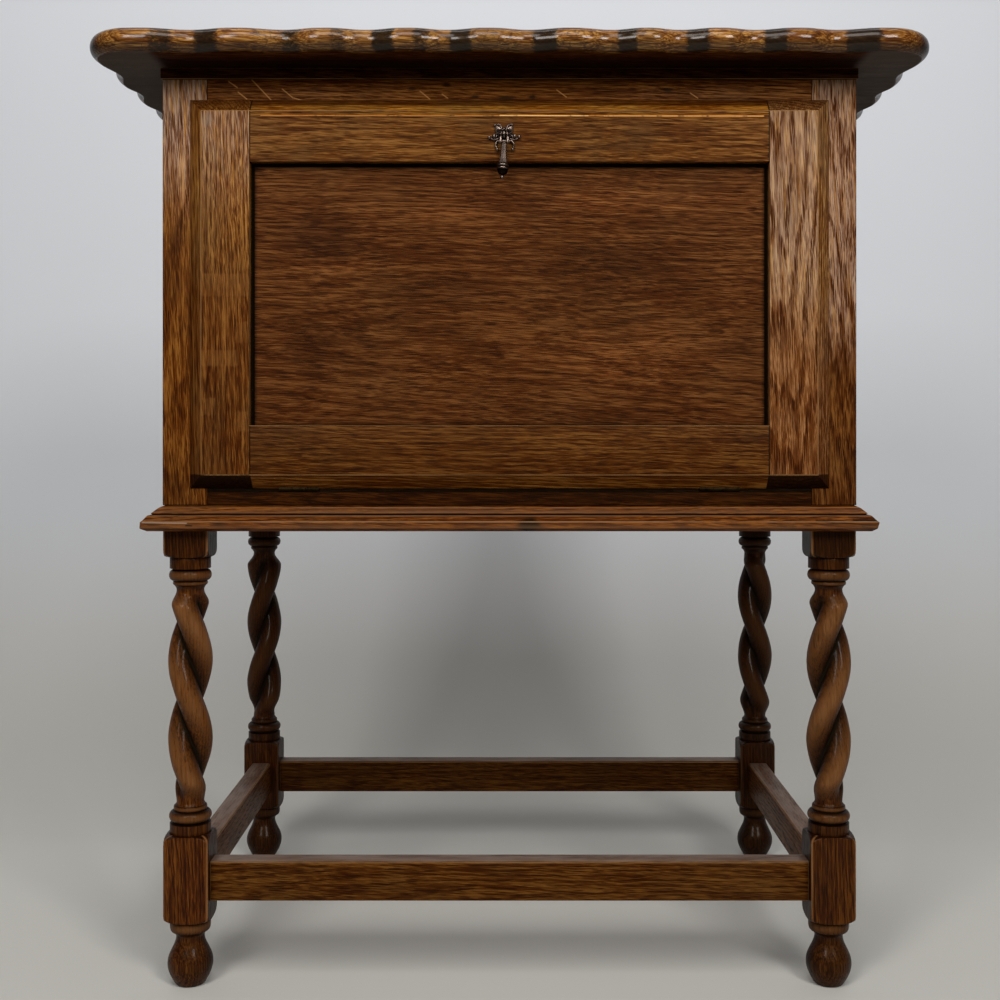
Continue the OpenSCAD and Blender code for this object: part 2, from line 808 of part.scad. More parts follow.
// A square block whose shoulders are rounded on the lathe, at the ends that are named
shoulder_cut = 1;
module leg_block(z0, z1, low_end, high_end) {
    in_r = leg_sq / 2 - shoulder_cut;
    out_r = leg_sq / sqrt(2) + eps;
    intersection() {
        translate([-leg_sq / 2, -leg_sq / 2, z0]) cube([leg_sq, leg_sq, z1 - z0]);
        turned(concat(
            low_end ? arc(in_r, z0 + shoulder_h, out_r - in_r, shoulder_h, -90, 0, 5) : [[out_r, z0]],
            high_end ? arc(in_r, z1 - shoulder_h, out_r - in_r, shoulder_h, 0, 90, 5) : [[out_r, z1]]
        ));
    }
}

// How far a strand stands above the groove at an angle from its crest, from 0 to 1
groove_soft = 0.15;
function strand(a) =
    (sqrt(pow(cos(a), 2) + groove_soft * groove_soft) - groove_soft)
    / (sqrt(1 + groove_soft * groove_soft) - groove_soft);

// Two strands wound about the leg. hand is 1 or -1, and waist_z the height of a narrow point
twist_seat = 1;
neck_step = 0.3;
module twist(hand, waist_z) {
    z_low = twist_z0 - twist_seat;
    z_high = twist_z1 + twist_seat;
    ring_stack([for (k = [0:twist_rings])
        let (
            z = mix(z_low, z_high, k / twist_rings),
            turn = 90 + hand * 360 * (z - waist_z) / twist_lead,
            swell = ease(min(z - z_low, z_high - z) / twist_fade),
            neck = mix(low_neck_r, high_neck_r, (z - z_low) / (z_high - z_low)) - neck_step
        )
        [for (j = [0:twist_sides - 1])
            let (a = 360 * j / twist_sides, r = mix(neck, mix(groove_r, strand_r, strand(a)), swell))
            [r * cos(turn + a), r * sin(turn + a), z]]]);
}

// Mortises for the tenons of the two stretchers that meet in this leg
module stretcher_mortises(to_x, to_y) {
    depth = stretcher_tenon_l + glue_room;
    z0 = stretcher_z0 + stretcher_tenon_margin;
    z1 = stretcher_z1 - stretcher_tenon_margin;
    on_side(to_x) block(leg_sq / 2 - depth, leg_sq / 2 + eps, -stretcher_tenon_t / 2,
        stretcher_tenon_t / 2, z0, z1);
    mirror([0, to_y < 0 ? 1 : 0, 0]) block(-stretcher_tenon_t / 2, stretcher_tenon_t / 2,
        leg_sq / 2 - depth, leg_sq / 2 + eps, z0, z1);
}

module leg(x, y, hand, waist_z) color(oak) translate([x, y, 0]) {
    difference() {
        union() {
            foot();
            leg_block(foot_h, low_block_z1, true, true);
            low_turning();
            twist(hand, waist_z);
            high_turning();
            leg_block(high_turning_z1, stand_h, true, false);
            translate([0, 0, stand_h - eps]) cylinder(h = dowel_l + eps, r = dowel_r);
        }
        stretcher_mortises(-sign(x), -sign(y));
    }
}

// Stretchers

stretcher_tenon_margin = 4;
stretcher_ease = 1.5;

// Section across a stretcher, with its upper corners eased
function stretcher_section(mid) = let (h = stretcher_t / 2) [
    [mid - h, stretcher_z0], [mid + h, stretcher_z0], [mid + h, stretcher_z1 - stretcher_ease],
    [mid + h - stretcher_ease, stretcher_z1], [mid - h + stretcher_ease, stretcher_z1],
    [mid - h, stretcher_z1 - stretcher_ease]
];

module stretcher_across(y) color(oak) {
    half = leg_x - leg_sq / 2;
    along_x(-half, half) polygon(stretcher_section(y));
    block(-half - stretcher_tenon_l, half + stretcher_tenon_l, y - stretcher_tenon_t / 2,
        y + stretcher_tenon_t / 2, stretcher_z0 + stretcher_tenon_margin,
        stretcher_z1 - stretcher_tenon_margin);
}

module stretcher_along(x) color(oak) {
    y0 = leg_y_front + leg_sq / 2;
    y1 = leg_y_back - leg_sq / 2;
    along_y(y0, y1) polygon(stretcher_section(x));
    block(x - stretcher_tenon_t / 2, x + stretcher_tenon_t / 2, y0 - stretcher_tenon_l,
        y1 + stretcher_tenon_l, stretcher_z0 + stretcher_tenon_margin,
        stretcher_z1 - stretcher_tenon_margin);
}

// Fall front

// Outline of the flap across one direction: bevelled in front, with its lip behind
function flap_section(low, high, lip_low, lip_high) = [
    [low, y_lap], [low, y_lap - flap_proud_t + flap_bevel], [low + flap_bevel, y_flap_front],
    [high - flap_bevel, y_flap_front], [high, y_lap - flap_proud_t + flap_bevel], [high, y_lap],
    [lip_high, y_lap], [lip_high, y_lip_back], [lip_low, y_lip_back], [lip_low, y_lap]
];

// The whole flap as one bevelled and rebated slab, before it is cut into stiles and rails
module flap_slab() {
    across = flap_section(-flap_x, flap_x, -lip_x, lip_x);
    upright = flap_section(flap_z0, flap_z1, lip_z0, lip_z1);
    intersection() {
        translate([0, 0, flap_z0]) linear_extrude(flap_z1 - flap_z0) polygon(across);
        along_x(-flap_x, flap_x) polygon([for (p = upright) [p.y, p.x]]);
    }
}

module flap_panel_blank(extra) {
    run_in = groove_d - glue_room + extra;
    block(-flap_stile_x - run_in, flap_stile_x + run_in, y_panel, y_panel + flap_panel_t,
        panel_z0 - run_in, panel_z1 + run_in);
}

module flap_tenons(z0, z1, extra) {
    reach = flap_stile_x + tenon_l + extra;
    block(-reach, reach, y_flap_mid - tenon_t / 2, y_flap_mid + tenon_t / 2, z0, z1);
}

module flap_top_tenons(extra) {
    flap_tenons(panel_z1 + tenon_shoulder, lip_z1 - flap_tenon_margin, extra);
}

module flap_bottom_tenons(extra) {
    flap_tenons(lip_z0 + flap_tenon_margin, panel_z0 - tenon_shoulder, extra);
}

module flap_stile(side) color(oak) {
    difference() {
        intersection() {
            flap_slab();
            on_side(side) block(flap_stile_x, flap_x + eps, y_flap_front - eps, y_lip_back + eps,
                flap_z0 - eps, flap_z1 + eps);
        }
        flap_panel_blank(glue_room);
        flap_top_tenons(glue_room);
        flap_bottom_tenons(glue_room);
        on_side(side) at_stay_screws() screw_hole(stay_screw_l, small_screw_r, small_screw_head_r);
    }
}

module flap_rail_blank(z0, z1) {
    intersection() {
        flap_slab();
        block(-flap_stile_x, flap_stile_x, y_flap_front - eps, y_lip_back + eps, z0, z1);
    }
}

module flap_rail_top() color(oak) {
    difference() {
        union() {
            flap_rail_blank(panel_z1, flap_z1 + eps);
            flap_top_tenons(0);
        }
        flap_panel_blank(glue_room);
        translate([catch_x, y_catch, lip_z1 - catch_case_l])
            cylinder(h = catch_case_l + eps, r = catch_case_r + pin_play);
        rod_y(y_flap_front - eps, y_lip_back + eps, pull_x, pull_z, pull_rod_r + pin_play);
    }
}

module flap_rail_bottom() color(oak) {
    difference() {
        union() {
            flap_rail_blank(flap_z0 - eps, panel_z0);
            flap_bottom_tenons(0);
        }
        flap_panel_blank(glue_room);
        for (side = [-1, 1]) on_side(side) {
            flap_leaf_plate(eps);
            knuckle_room();
            at_flap_leaf_screws() screw_hole(hinge_screw_l, small_screw_r, small_screw_head_r);
        }
    }
}

module flap_panel() color(oak_dark) flap_panel_blank(0);

// Hinges, drawn for the right side

hinge_x1 = flap_x - hinge_in;
hinge_x0 = hinge_x1 - hinge_l;
hinge_x = (hinge_x0 + hinge_x1) / 2;
hinge_third = hinge_l / 3;
hinge_screw_up = 9.5;
hinge_screw_x = hinge_l / 3;

// Leaf let into the face frame; extra grows it below the pin to cut its mortise
module frame_leaf_plate(extra) {
    block(hinge_x0, hinge_x1, y_pivot - extra, y_pivot + leaf_t, z_pivot - extra, z_pivot + leaf_h);
}

module flap_leaf_plate(extra) {
    block(hinge_x0, hinge_x1, y_lap - leaf_t, y_lap + extra, z_pivot - extra, z_pivot + leaf_h);
}

// Groove in the wood that clears the knuckles
module knuckle_room() {
    rod_x(hinge_x0 - run_play, hinge_x1 + run_play, y_pivot, z_pivot, knuckle_r + run_play);
}

module at_frame_leaf_screws() {
    for (i = [-1, 1]) translate([hinge_x + i * hinge_screw_x, y_pivot, z_pivot + hinge_screw_up])
        rotate([-90, 0, 0]) children();
}

module at_flap_leaf_screws() {
    for (i = [-1, 1]) translate([hinge_x + i * hinge_screw_x, y_lap, z_pivot + hinge_screw_up])
        rotate([90, 0, 0]) children();
}

module pin_bore() {
    rod_x(hinge_x0 - eps, hinge_x1 + eps, y_pivot, z_pivot, hinge_pin_r + pin_play);
}

module hinge_frame_leaf(side) color(brass) on_side(side) {
    difference() {
        union() {
            frame_leaf_plate(0);
            rod_x(hinge_x0, hinge_x1, y_pivot, z_pivot, knuckle_r);
        }
        rod_x(hinge_x0 + hinge_third - run_play / 2, hinge_x1 - hinge_third + run_play / 2, y_pivot,
            z_pivot, knuckle_r + run_play);
        pin_bore();
        at_frame_leaf_screws() screw_hole(fitting_screw_l, small_screw_r, small_screw_head_r);
    }
}

module hinge_flap_leaf(side) color(brass) on_side(side) {
    difference() {
        union() {
            flap_leaf_plate(0);
            rod_x(hinge_x0 + hinge_third + run_play / 2, hinge_x1 - hinge_third - run_play / 2, y_pivot,
                z_pivot, knuckle_r);
        }
        for (x = [hinge_x0 - eps, hinge_x1 - hinge_third - run_play / 2])
            rod_x(x, x + hinge_third + run_play / 2 + eps, y_pivot, z_pivot, knuckle_r + run_play);
        pin_bore();
        at_flap_leaf_screws() screw_hole(hinge_screw_l, small_screw_r, small_screw_head_r);
    }
}

module hinge_pins() color(brass) {
    for (side = [-1, 1]) on_side(side) rod_x(hinge_x0, hinge_x1, y_pivot, z_pivot, hinge_pin_r);
}

module frame_leaf_screws() color(brass) {
    for (side = [-1, 1]) on_side(side) at_frame_leaf_screws() screw(fitting_screw_l, small_screw_r,
        small_screw_head_r);
}

module flap_leaf_screws() color(brass) {
    for (side = [-1, 1]) on_side(side) at_flap_leaf_screws() screw(hinge_screw_l, small_screw_r,
        small_screw_head_r);
}

// Stays, drawn for the right side. Each is an arc about the hinge pins

stay_x = opening_x - stay_inset;
stay_lug_out = 3;
stay_lug = stay_w / 2 + stay_lug_out;
stay_lug_angle = 4;
keeper_play = 0.5;
keeper_wall = 2.5;
keeper_w = stay_inset + stay_t / 2 + keeper_wall;
keeper_gap = 1;
keeper_slot_from = -30;
keeper_slot_to = 60;
y_keeper0 = y_lip_back + foot_plate_t + keeper_gap;
y_keeper1 = y_keeper0 + keeper_t;
keeper_z = z_pivot + sqrt(pow(stay_r, 2) - pow((y_keeper0 + y_keeper1) / 2 - y_pivot, 2));
screw_edge = 3.5;
keeper_screw_up = keeper_h / 2 - screw_edge;
stay_screw_l = 12;
// Angle at which the stop lug meets the keeper once the flap is open, and the end of the lug
stay_stop_a = open_angle + asin((y_keeper1 - y_pivot + run_play) / (stay_r - stay_lug));
stay_tail_a = stay_stop_a + stay_lug_angle;

// A slice of a ring about the pivot. Angles run from straight up towards the back
module pivot_ring(r0, r1, a0, a1, x0, x1) {
    far = 2 * r1;
    intersection() {
        difference() {
            rod_x(x0, x1, y_pivot, z_pivot, r1);
            rod_x(x0 - eps, x1 + eps, y_pivot, z_pivot, r0);
        }
        translate([0, y_pivot, z_pivot]) along_x(x0 - eps, x1 + eps) polygon(concat(
            [[0, 0]], [for (i = [0:3]) let (a = mix(a0, a1, i / 3)) [far * sin(a), far * cos(a)]]
        ));
    }
}

module at_stay_screws() {
    for (i = [-1, 1])
        translate([stay_x - foot_plate_w / 2, y_lip_back + foot_plate_t,
            z_pivot + stay_r + i * (foot_plate_h / 2 - 2 * small_screw_head_r)])
            rotate([90, 0, 0]) children();
}

module stay(side) color(brass) on_side(side) {
    x0 = stay_x - stay_t / 2;
    x1 = stay_x + stay_t / 2;
    difference() {
        union() {
            intersection() {
                pivot_ring(stay_r - stay_w / 2, stay_r + stay_w / 2, 0, stay_tail_a, x0, x1);
                block(x0 - eps, x1 + eps, y_lip_back + foot_plate_t / 2, y_pivot + 2 * stay_r,
                    z_pivot - stay_r, z_pivot + 2 * stay_r);
            }
            pivot_ring(stay_r - stay_lug, stay_r + stay_lug, stay_stop_a, stay_tail_a, x0, x1);
            block(x1 - foot_plate_w, x1, y_lip_back, y_lip_back + foot_plate_t,
                z_pivot + stay_r - foot_plate_h / 2, z_pivot + stay_r + foot_plate_h / 2);
        }
        at_stay_screws() screw_hole(stay_screw_l, small_screw_r, small_screw_head_r);
    }
}

module stay_screws() color(brass) {
    for (side = [-1, 1]) on_side(side) at_stay_screws() screw(stay_screw_l, small_screw_r,
        small_screw_head_r);
}

module at_keeper_screws() {
    for (i = [-1, 1])
        translate([opening_x - keeper_w, (y_keeper0 + y_keeper1) / 2, keeper_z + i * keeper_screw_up])
            rotate([0, 90, 0]) children();
}

module keeper(side) color(brass) on_side(side) {
    difference() {
        block(opening_x - keeper_w, opening_x, y_keeper0, y_keeper1, keeper_z - keeper_h / 2,
            keeper_z + keeper_h / 2);
        pivot_ring(stay_r - stay_w / 2 - keeper_play, stay_r + stay_w / 2 + keeper_play,
            keeper_slot_from, keeper_slot_to, stay_x - stay_t / 2 - keeper_play,
            stay_x + stay_t / 2 + keeper_play);
        at_keeper_screws() screw_hole(fitting_screw_l + keeper_w, small_screw_r, small_screw_head_r);
    }
}

module keeper_screws() color(brass) {
    for (side = [-1, 1]) on_side(side) at_keeper_screws() screw(fitting_screw_l + keeper_w,
        small_screw_r, small_screw_head_r);
}

// Ball catch

y_catch = y_lap + flap_lip_t / 2;
catch_play = 0.08;
catch_bore_r = catch_ball_r + catch_play;
catch_floor_t = 1;
catch_ball_z = lip_z1 + catch_reach - catch_ball_r;
spring_play = 0.2;
spring_r = catch_ball_r - spring_play;
spring_wall = 0.5;
strike_hole_r = sqrt(pow(catch_ball_r, 2) - pow(catch_ball_r - catch_reach + lip_gap, 2)) + run_play;
strike_screw_x = strike_l / 2 - screw_edge;
strike_set_back = 1;
strike_y0 = y_front + strike_set_back;
strike_y1 = y_catch + strike_hole_r + screw_edge;

module catch_case() color(brass) {
    translate([catch_x, y_catch, lip_z1 - catch_case_l]) difference() {
        cylinder(h = catch_case_l, r = catch_case_r);
        translate([0, 0, catch_floor_t]) cylinder(h = catch_case_l, r = catch_bore_r);
    }
}

module catch_ball() color(steel) {
    translate([catch_x, y_catch, catch_ball_z]) sphere(r = catch_ball_r);
}

// The spring is shown by its outer shape, a short tube under the ball
module catch_spring() color(steel) {
    z0 = lip_z1 - catch_case_l + catch_floor_t;
    inner = spring_r - spring_wall;
    z1 = catch_ball_z - sqrt(pow(catch_ball_r, 2) - pow(inner, 2)) - pin_play;
    translate([catch_x, y_catch, z0]) difference() {
        cylinder(h = z1 - z0, r = spring_r);
        translate([0, 0, -eps]) cylinder(h = z1 - z0 + 2 * eps, r = inner);
    }
}

module strike_blank() {
    block(catch_x - strike_l / 2, catch_x + strike_l / 2, strike_y0, strike_y1, opening_z1 - eps,
        opening_z1 + strike_t);
}

module at_strike_screws() {
    for (i = [-1, 1]) translate([catch_x + i * strike_screw_x, (strike_y0 + strike_y1) / 2, opening_z1])
        children();
}

module strike_plate() color(brass) {
    difference() {
        block(catch_x - strike_l / 2, catch_x + strike_l / 2, strike_y0, strike_y1, opening_z1,
            opening_z1 + strike_t);
        translate([catch_x, y_catch, opening_z1 - eps]) cylinder(h = strike_t + 2 * eps,
            r = strike_hole_r);
        at_strike_screws() screw_hole(fitting_screw_l, small_screw_r, small_screw_head_r);
    }
}

module strike_screws() color(brass) {
    at_strike_screws() screw(fitting_screw_l, small_screw_r, small_screw_head_r);
}

// Drop pull

pull_z = flap_z1 - pull_down;
pull_rod_r = 1.8;
y_pull_plate = y_flap_front - pull_plate_t;
y_pull_pin = y_pull_plate - pull_pin_out;
z_pull_pin = pull_z - pull_pin_down;
pull_tongue_w = 3.4;
barrel_inset = 0.2;
pull_barrel_w = 2 * (boss_r - barrel_inset);
pull_nut_h = 3;
thread_out = 1.5;
pull_nut_r = 4;
drop_rim_h = 3.4;
drop_gap = 0.4;
drop_cup_h = 0.95 * drop_rim_r;
drop_tip_rise = 0.8 * drop_tip_r;
stem_foot_in = 0.7;
tongue_seat = 1;
cup_in = 0.3;
cup_from = -75;
cup_steps = 5;
rim_quirk = 0.6;
rosette_r = 0.75 * leaf_w;
leaf_angles = [55, 125, -4.5, 184.5, -58.5, -121.5];

// One pointed leaf, its root at the origin and its tip along X
leaf_lean = 0.8;
leaf_fullness = 0.75;
leaf_steps = 6;
function leaf_half(t) = leaf_w / 2 * pow(sin(180 * pow(t, leaf_lean)), leaf_fullness);
function leaf_outline() = concat(
    [for (i = [0:leaf_steps]) let (t = i / leaf_steps) [leaf_reach * t, leaf_half(t)]],
    [for (i = [leaf_steps - 1:-1:1]) let (t = i / leaf_steps) [leaf_reach * t, -leaf_half(t)]]
);

module pull_plate() color(bronze) {
    difference() {
        union() {
            rod_y(y_pull_plate, y_flap_front, pull_x, pull_z, rosette_r);
            for (a = leaf_angles) along_y(y_pull_plate, y_flap_front)
                translate([pull_x, pull_z]) rotate(a) polygon(leaf_outline());
        }
        rod_y(y_pull_plate - eps, y_flap_front + eps, pull_x, pull_z, pull_rod_r + pin_play);
    }
}

module pull_pin_bore() {
    rod_x(pull_x - boss_r - eps, pull_x + boss_r + eps, y_pull_pin, z_pull_pin, pull_pin_r + pin_play);
}

module pull_post() color(bronze) {
    room = pull_tongue_w / 2 + run_play;
    difference() {
        union() {
            intersection() {
                translate([pull_x, y_pull_plate, pull_z]) sphere(r = boss_r);
                block(pull_x - boss_r, pull_x + boss_r, y_pull_plate - boss_r, y_pull_plate,
                    pull_z - boss_r, pull_z + boss_r);
            }
            rod_x(pull_x - pull_barrel_w / 2, pull_x + pull_barrel_w / 2, y_pull_pin, z_pull_pin,
                pull_knuckle_r);
            rod_y(y_pull_plate - eps, y_lip_back + pull_nut_h + thread_out, pull_x, pull_z, pull_rod_r);
        }
        rod_x(pull_x - room, pull_x + room, y_pull_pin, z_pull_pin, pull_knuckle_r + run_play);
        pull_pin_bore();
    }
}

module pull_nut() color(bronze) {
    translate([pull_x, y_lip_back, pull_z]) rotate([-90, 0, 0]) difference() {
        cylinder(h = pull_nut_h, r = pull_nut_r, $fn = 6);
        translate([0, 0, -eps]) cylinder(h = pull_nut_h + 2 * eps, r = pull_rod_r + pin_play);
    }
}

module pull_pin() color(bronze) {
    rod_x(pull_x - pull_barrel_w / 2, pull_x + pull_barrel_w / 2, y_pull_pin, z_pull_pin, pull_pin_r);
}

// The drop hangs straight down from its pin: tongue, flared stem, rim, cup and tip
module pull_drop() color(bronze) {
    stem_z = -pull_knuckle_r - drop_gap;
    rim_z = stem_z - drop_stem_l;
    tip_z = rim_z - drop_rim_h - drop_cup_h - drop_tip_rise;
    translate([pull_x, y_pull_pin, z_pull_pin]) difference() {
        union() {
            rod_x(-pull_tongue_w / 2, pull_tongue_w / 2, 0, 0, pull_knuckle_r);
            block(-pull_tongue_w / 2, pull_tongue_w / 2, -pull_tongue_w / 2, pull_tongue_w / 2,
                stem_z - tongue_seat, 0);
            translate([0, 0, rim_z]) cylinder(h = drop_stem_l, r1 = drop_rim_r - stem_foot_in,
                r2 = drop_stem_r, $fn = 8);
            turned(concat(
                [[drop_tip_r / 2, tip_z]],
                [[drop_tip_r / 2, rim_z - drop_rim_h - drop_cup_h]],
                arc(0, rim_z - drop_rim_h, drop_rim_r - cup_in, drop_cup_h, cup_from, 0, cup_steps),
                bead(drop_rim_r - rim_quirk, drop_rim_r, rim_z - drop_rim_h, rim_z - drop_rim_h / 2),
                bead(drop_rim_r - rim_quirk, drop_rim_r, rim_z - drop_rim_h / 2, rim_z + eps / 2)
            ));
            translate([0, 0, tip_z]) sphere(r = drop_tip_r);
        }
        rod_x(-pull_tongue_w, pull_tongue_w, 0, 0, pull_pin_r + pin_play);
    }
}

top_board();
under_top();
top_screws();
face_stile(-1);  // face_stile_left
face_stile(1);  // face_stile_right
face_rail_top();
face_rail_bottom();
side_stile_front(-1);  // side_stile_front_left
side_stile_front(1);  // side_stile_front_right
side_stile_back(-1);  // side_stile_back_left
side_stile_back(1);  // side_stile_back_right
side_rail(-1, side_panel_z1, z_under_top);  // side_rail_top_left
side_rail(1, side_panel_z1, z_under_top);  // side_rail_top_right
side_rail(-1, z_carcass, side_panel_z0);  // side_rail_bottom_left
side_rail(1, z_carcass, side_panel_z0);  // side_rail_bottom_right
side_panel(-1);  // side_panel_left
side_panel(1);  // side_panel_right
back_panel();
back_screws();
glue_blocks();
base_board();
base_screws();
leg(-leg_x, leg_y_front, -1, waist_front_left);  // leg_front_left
leg(leg_x, leg_y_front, 1, waist_front_right);  // leg_front_right
leg(-leg_x, leg_y_back, 1, waist_back_left);  // leg_back_left
leg(leg_x, leg_y_back, -1, waist_back_right);  // leg_back_right
stretcher_across(leg_y_front);  // stretcher_front
stretcher_across(leg_y_back);  // stretcher_back
stretcher_along(-leg_x);  // stretcher_left
stretcher_along(leg_x);  // stretcher_right
flap_stile(-1);  // flap_stile_left
flap_stile(1);  // flap_stile_right
flap_rail_top();
flap_rail_bottom();
flap_panel();
hinge_frame_leaf(-1);  // hinge_frame_leaf_left
hinge_frame_leaf(1);  // hinge_frame_leaf_right
hinge_flap_leaf(-1);  // hinge_flap_leaf_left
hinge_flap_leaf(1);  // hinge_flap_leaf_right
hinge_pins();
frame_leaf_screws();
flap_leaf_screws();
stay(-1);  // stay_left
stay(1);  // stay_right
stay_screws();
keeper(-1);  // keeper_left
keeper(1);  // keeper_right
keeper_screws();
catch_case();
catch_ball();
catch_spring();
strike_plate();
strike_screws();
pull_plate();
pull_post();
pull_nut();
pull_pin();
pull_drop();
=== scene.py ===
# %% [markdown]
# # An oak side cabinet on barley-twist legs
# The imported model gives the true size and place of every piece. This lesson dresses it: the
# boards get eased edges, the turnings get a fine skin, and each wood and metal gets a finish.

# %% Load the frame
import json
from math import atan2, copysign, cos, pi, radians, sin, sqrt, tau
import bmesh
import bpy
from mathutils import Matrix, Vector, geometry, noise


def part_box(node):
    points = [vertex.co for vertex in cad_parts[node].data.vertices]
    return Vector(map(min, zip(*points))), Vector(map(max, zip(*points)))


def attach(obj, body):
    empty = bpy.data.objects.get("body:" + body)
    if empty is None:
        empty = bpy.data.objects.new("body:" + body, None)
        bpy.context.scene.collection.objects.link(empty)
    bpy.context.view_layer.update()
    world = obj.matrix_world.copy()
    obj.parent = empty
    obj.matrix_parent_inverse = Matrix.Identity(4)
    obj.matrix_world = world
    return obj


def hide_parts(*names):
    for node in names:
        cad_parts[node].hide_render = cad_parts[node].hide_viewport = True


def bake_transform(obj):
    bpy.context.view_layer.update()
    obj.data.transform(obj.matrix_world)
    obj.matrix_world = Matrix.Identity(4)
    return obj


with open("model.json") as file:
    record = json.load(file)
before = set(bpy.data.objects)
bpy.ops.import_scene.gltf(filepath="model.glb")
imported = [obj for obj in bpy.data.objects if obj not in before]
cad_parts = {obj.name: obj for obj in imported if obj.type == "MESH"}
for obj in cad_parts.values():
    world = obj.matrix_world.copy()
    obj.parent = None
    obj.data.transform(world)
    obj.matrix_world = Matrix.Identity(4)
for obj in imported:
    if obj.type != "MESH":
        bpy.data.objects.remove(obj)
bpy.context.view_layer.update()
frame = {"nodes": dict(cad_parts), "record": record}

nodes = frame["nodes"]
slot_of = {part["node"]: part["material_slot"] for part in frame["record"]["subparts"]}
body_of = {name: body for body, names in frame["record"]["behaviour"]["bodies"].items()
           for name in names}
MM = 0.001

# %% [markdown]
# ## Camera
# The photograph was taken level, a little above the middle of the cabinet. A level camera keeps
# the uprights parallel, and a small lens shift frames the piece, as a shift lens does.

# %% Place the camera
EYE_AWAY, EYE_HEIGHT = 1.476, 0.533
camera_data = bpy.data.cameras.new("camera")
camera_data.sensor_width, camera_data.lens = 36.0, 48.6
camera_data.shift_x, camera_data.shift_y = -0.0095, -0.069
camera = bpy.data.objects.new("camera", camera_data)
camera.location = (0.0, -EYE_AWAY, EYE_HEIGHT)
camera.rotation_euler = (radians(90), 0, 0)
bpy.context.scene.collection.objects.link(camera)
bpy.context.scene.camera = camera
print("camera at", tuple(camera.location))

# %% [markdown]
# ## Wiring a finish
# A finish is a small circuit of nodes. This class holds one material, and each of its methods adds
# one kind of node, sets its sockets and wires it, so that a finish below reads like a recipe. What
# goes into a socket is either a number or colour, or the output of an earlier node.

# %% Node helpers
def shade(code):
    """A colour as painters write it, #rrggbb, in the linear light that the renderer works in."""
    parts = [int(code[i:i + 2], 16) / 255 for i in (1, 3, 5)]
    return tuple(c / 12.92 if c < 0.04045 else ((c + 0.055) / 1.055) ** 2.4 for c in parts) + (1.0,)


class Circuit:
    def __init__(self, name):
        self.material = bpy.data.materials.new(name)
        self.material.use_nodes = True
        self.tree = self.material.node_tree
        self.shader = self.tree.nodes["Principled BSDF"]

    def wire(self, node, inputs):
        for key, value in inputs.items():
            if isinstance(value, bpy.types.NodeSocket):
                self.tree.links.new(value, node.inputs[key])
            else:
                node.inputs[key].default_value = value

    def add(self, kind, inputs, **settings):
        made = self.tree.nodes.new("ShaderNode" + kind)
        for key, value in settings.items():
            setattr(made, key, value)
        self.wire(made, inputs)
        return made

    def maths(self, operation, a, b=0.0):
        return self.add("Math", {0: a, 1: b}, operation=operation).outputs[0]

    def times(self, a, b):
        return self.maths("MULTIPLY", a, b)

    def plus(self, *weighted):
        """The sum of values, each with its weight."""
        total = 0.0
        for value, weight in weighted:
            total = self.add("Math", {0: value, 1: weight, 2: total},
                             operation="MULTIPLY_ADD").outputs[0]
        return total

    def rise(self, value, low, high):
        """A smooth step from 0 at low to 1 at high. A low above the high gives a fall."""
        return self.add("MapRange", {0: value, 1: low, 2: high},
                        interpolation_type="SMOOTHSTEP").outputs[0]

    def vector(self, operation, *values):
        made = self.add("VectorMath", dict(enumerate(values)), operation=operation)
        return made.outputs["Value" if operation in ("DOT_PRODUCT", "LENGTH") else "Vector"]

    def noise(self, vector, scale, detail=3.0, rough=0.5):
        """Noise in a place that is first multiplied by the scale, one number for each axis."""
        return self.add("TexNoise", {"Vector": self.vector("MULTIPLY", vector, scale),
                                     "Scale": 1.0, "Detail": detail, "Roughness": rough})

    def cloud(self, *recipe):
        return self.noise(*recipe).outputs["Fac"]

    def pushed(self, vector, by, amount):
        """Moves a place about by the colours of a noise, as growth bends the fibres."""
        drift = self.vector("SUBTRACT", by.outputs["Color"], (0.5, 0.5, 0.5))
        return self.vector("MULTIPLY_ADD", drift, (amount,) * 3, vector)

    def place(self, kind="Object"):
        return self.add("TexCoord", {}).outputs[kind]

    def along(self, axis, kind="Object"):
        """How far a point lies along an axis, or with the kind Normal, how far its face looks."""
        return self.add("SeparateXYZ", {0: self.place(kind)}).outputs[axis]

    def mark(self, name):
        """The number that the mesh carries at each corner, such as how worn it is."""
        return self.add("Attribute", {}, attribute_name=name).outputs["Fac"]

    def layer(self, mask, under, over, mode="MIX"):
        """Lays one colour over another, as much as the mask says."""
        return self.add("Mix", {0: mask, 6: under, 7: over}, data_type="RGBA",
                        blend_type=mode).outputs[2]

    def paint(self, under, code, mask):
        return self.layer(mask, under, shade(code))

    def tint(self, under, gain, mask):
        """Multiplies red, green and blue, as a stain does."""
        return self.layer(mask, under, gain + (1.0,), "MULTIPLY")


# %% [markdown]
# ## Oak
# Oak is a ring-porous wood: each year begins with a band of open pores, which take the dark stain,
# and ends with dense pale wood. On the board they show as short dark dashes that crowd together
# in bands. A board is a slice of a log, so the pattern is made in the same way: rings around the
# heart of a log, cut where the board lies. A leaning log gives the arches of a plain-sawn board,
# and a far heart gives straight lines.
#
# A Voronoi texture that is stretched along the grain gives the dashes: each cell holds one pore,
# and the nearer to its centre, the deeper in the pore. `heart` says how far the heart of the log
# lies from the board's middle, in metres. Two marks are carried by the meshes: rubbed edges go
# pale, and corners hold dark wax. The dark mark also carries painted shade, on the lower half of
# the top's rounded edge and along the panel's margin and the flap's rim.

# %% Board coordinates
GRAIN_ORDER = {"X": ("X", "Z", "Y"), "Y": ("Y", "Z", "X"), "Z": ("Z", "X", "Y")}
LEAN = [radians(angle) for angle in (0.0, 2.0, 2.5)]


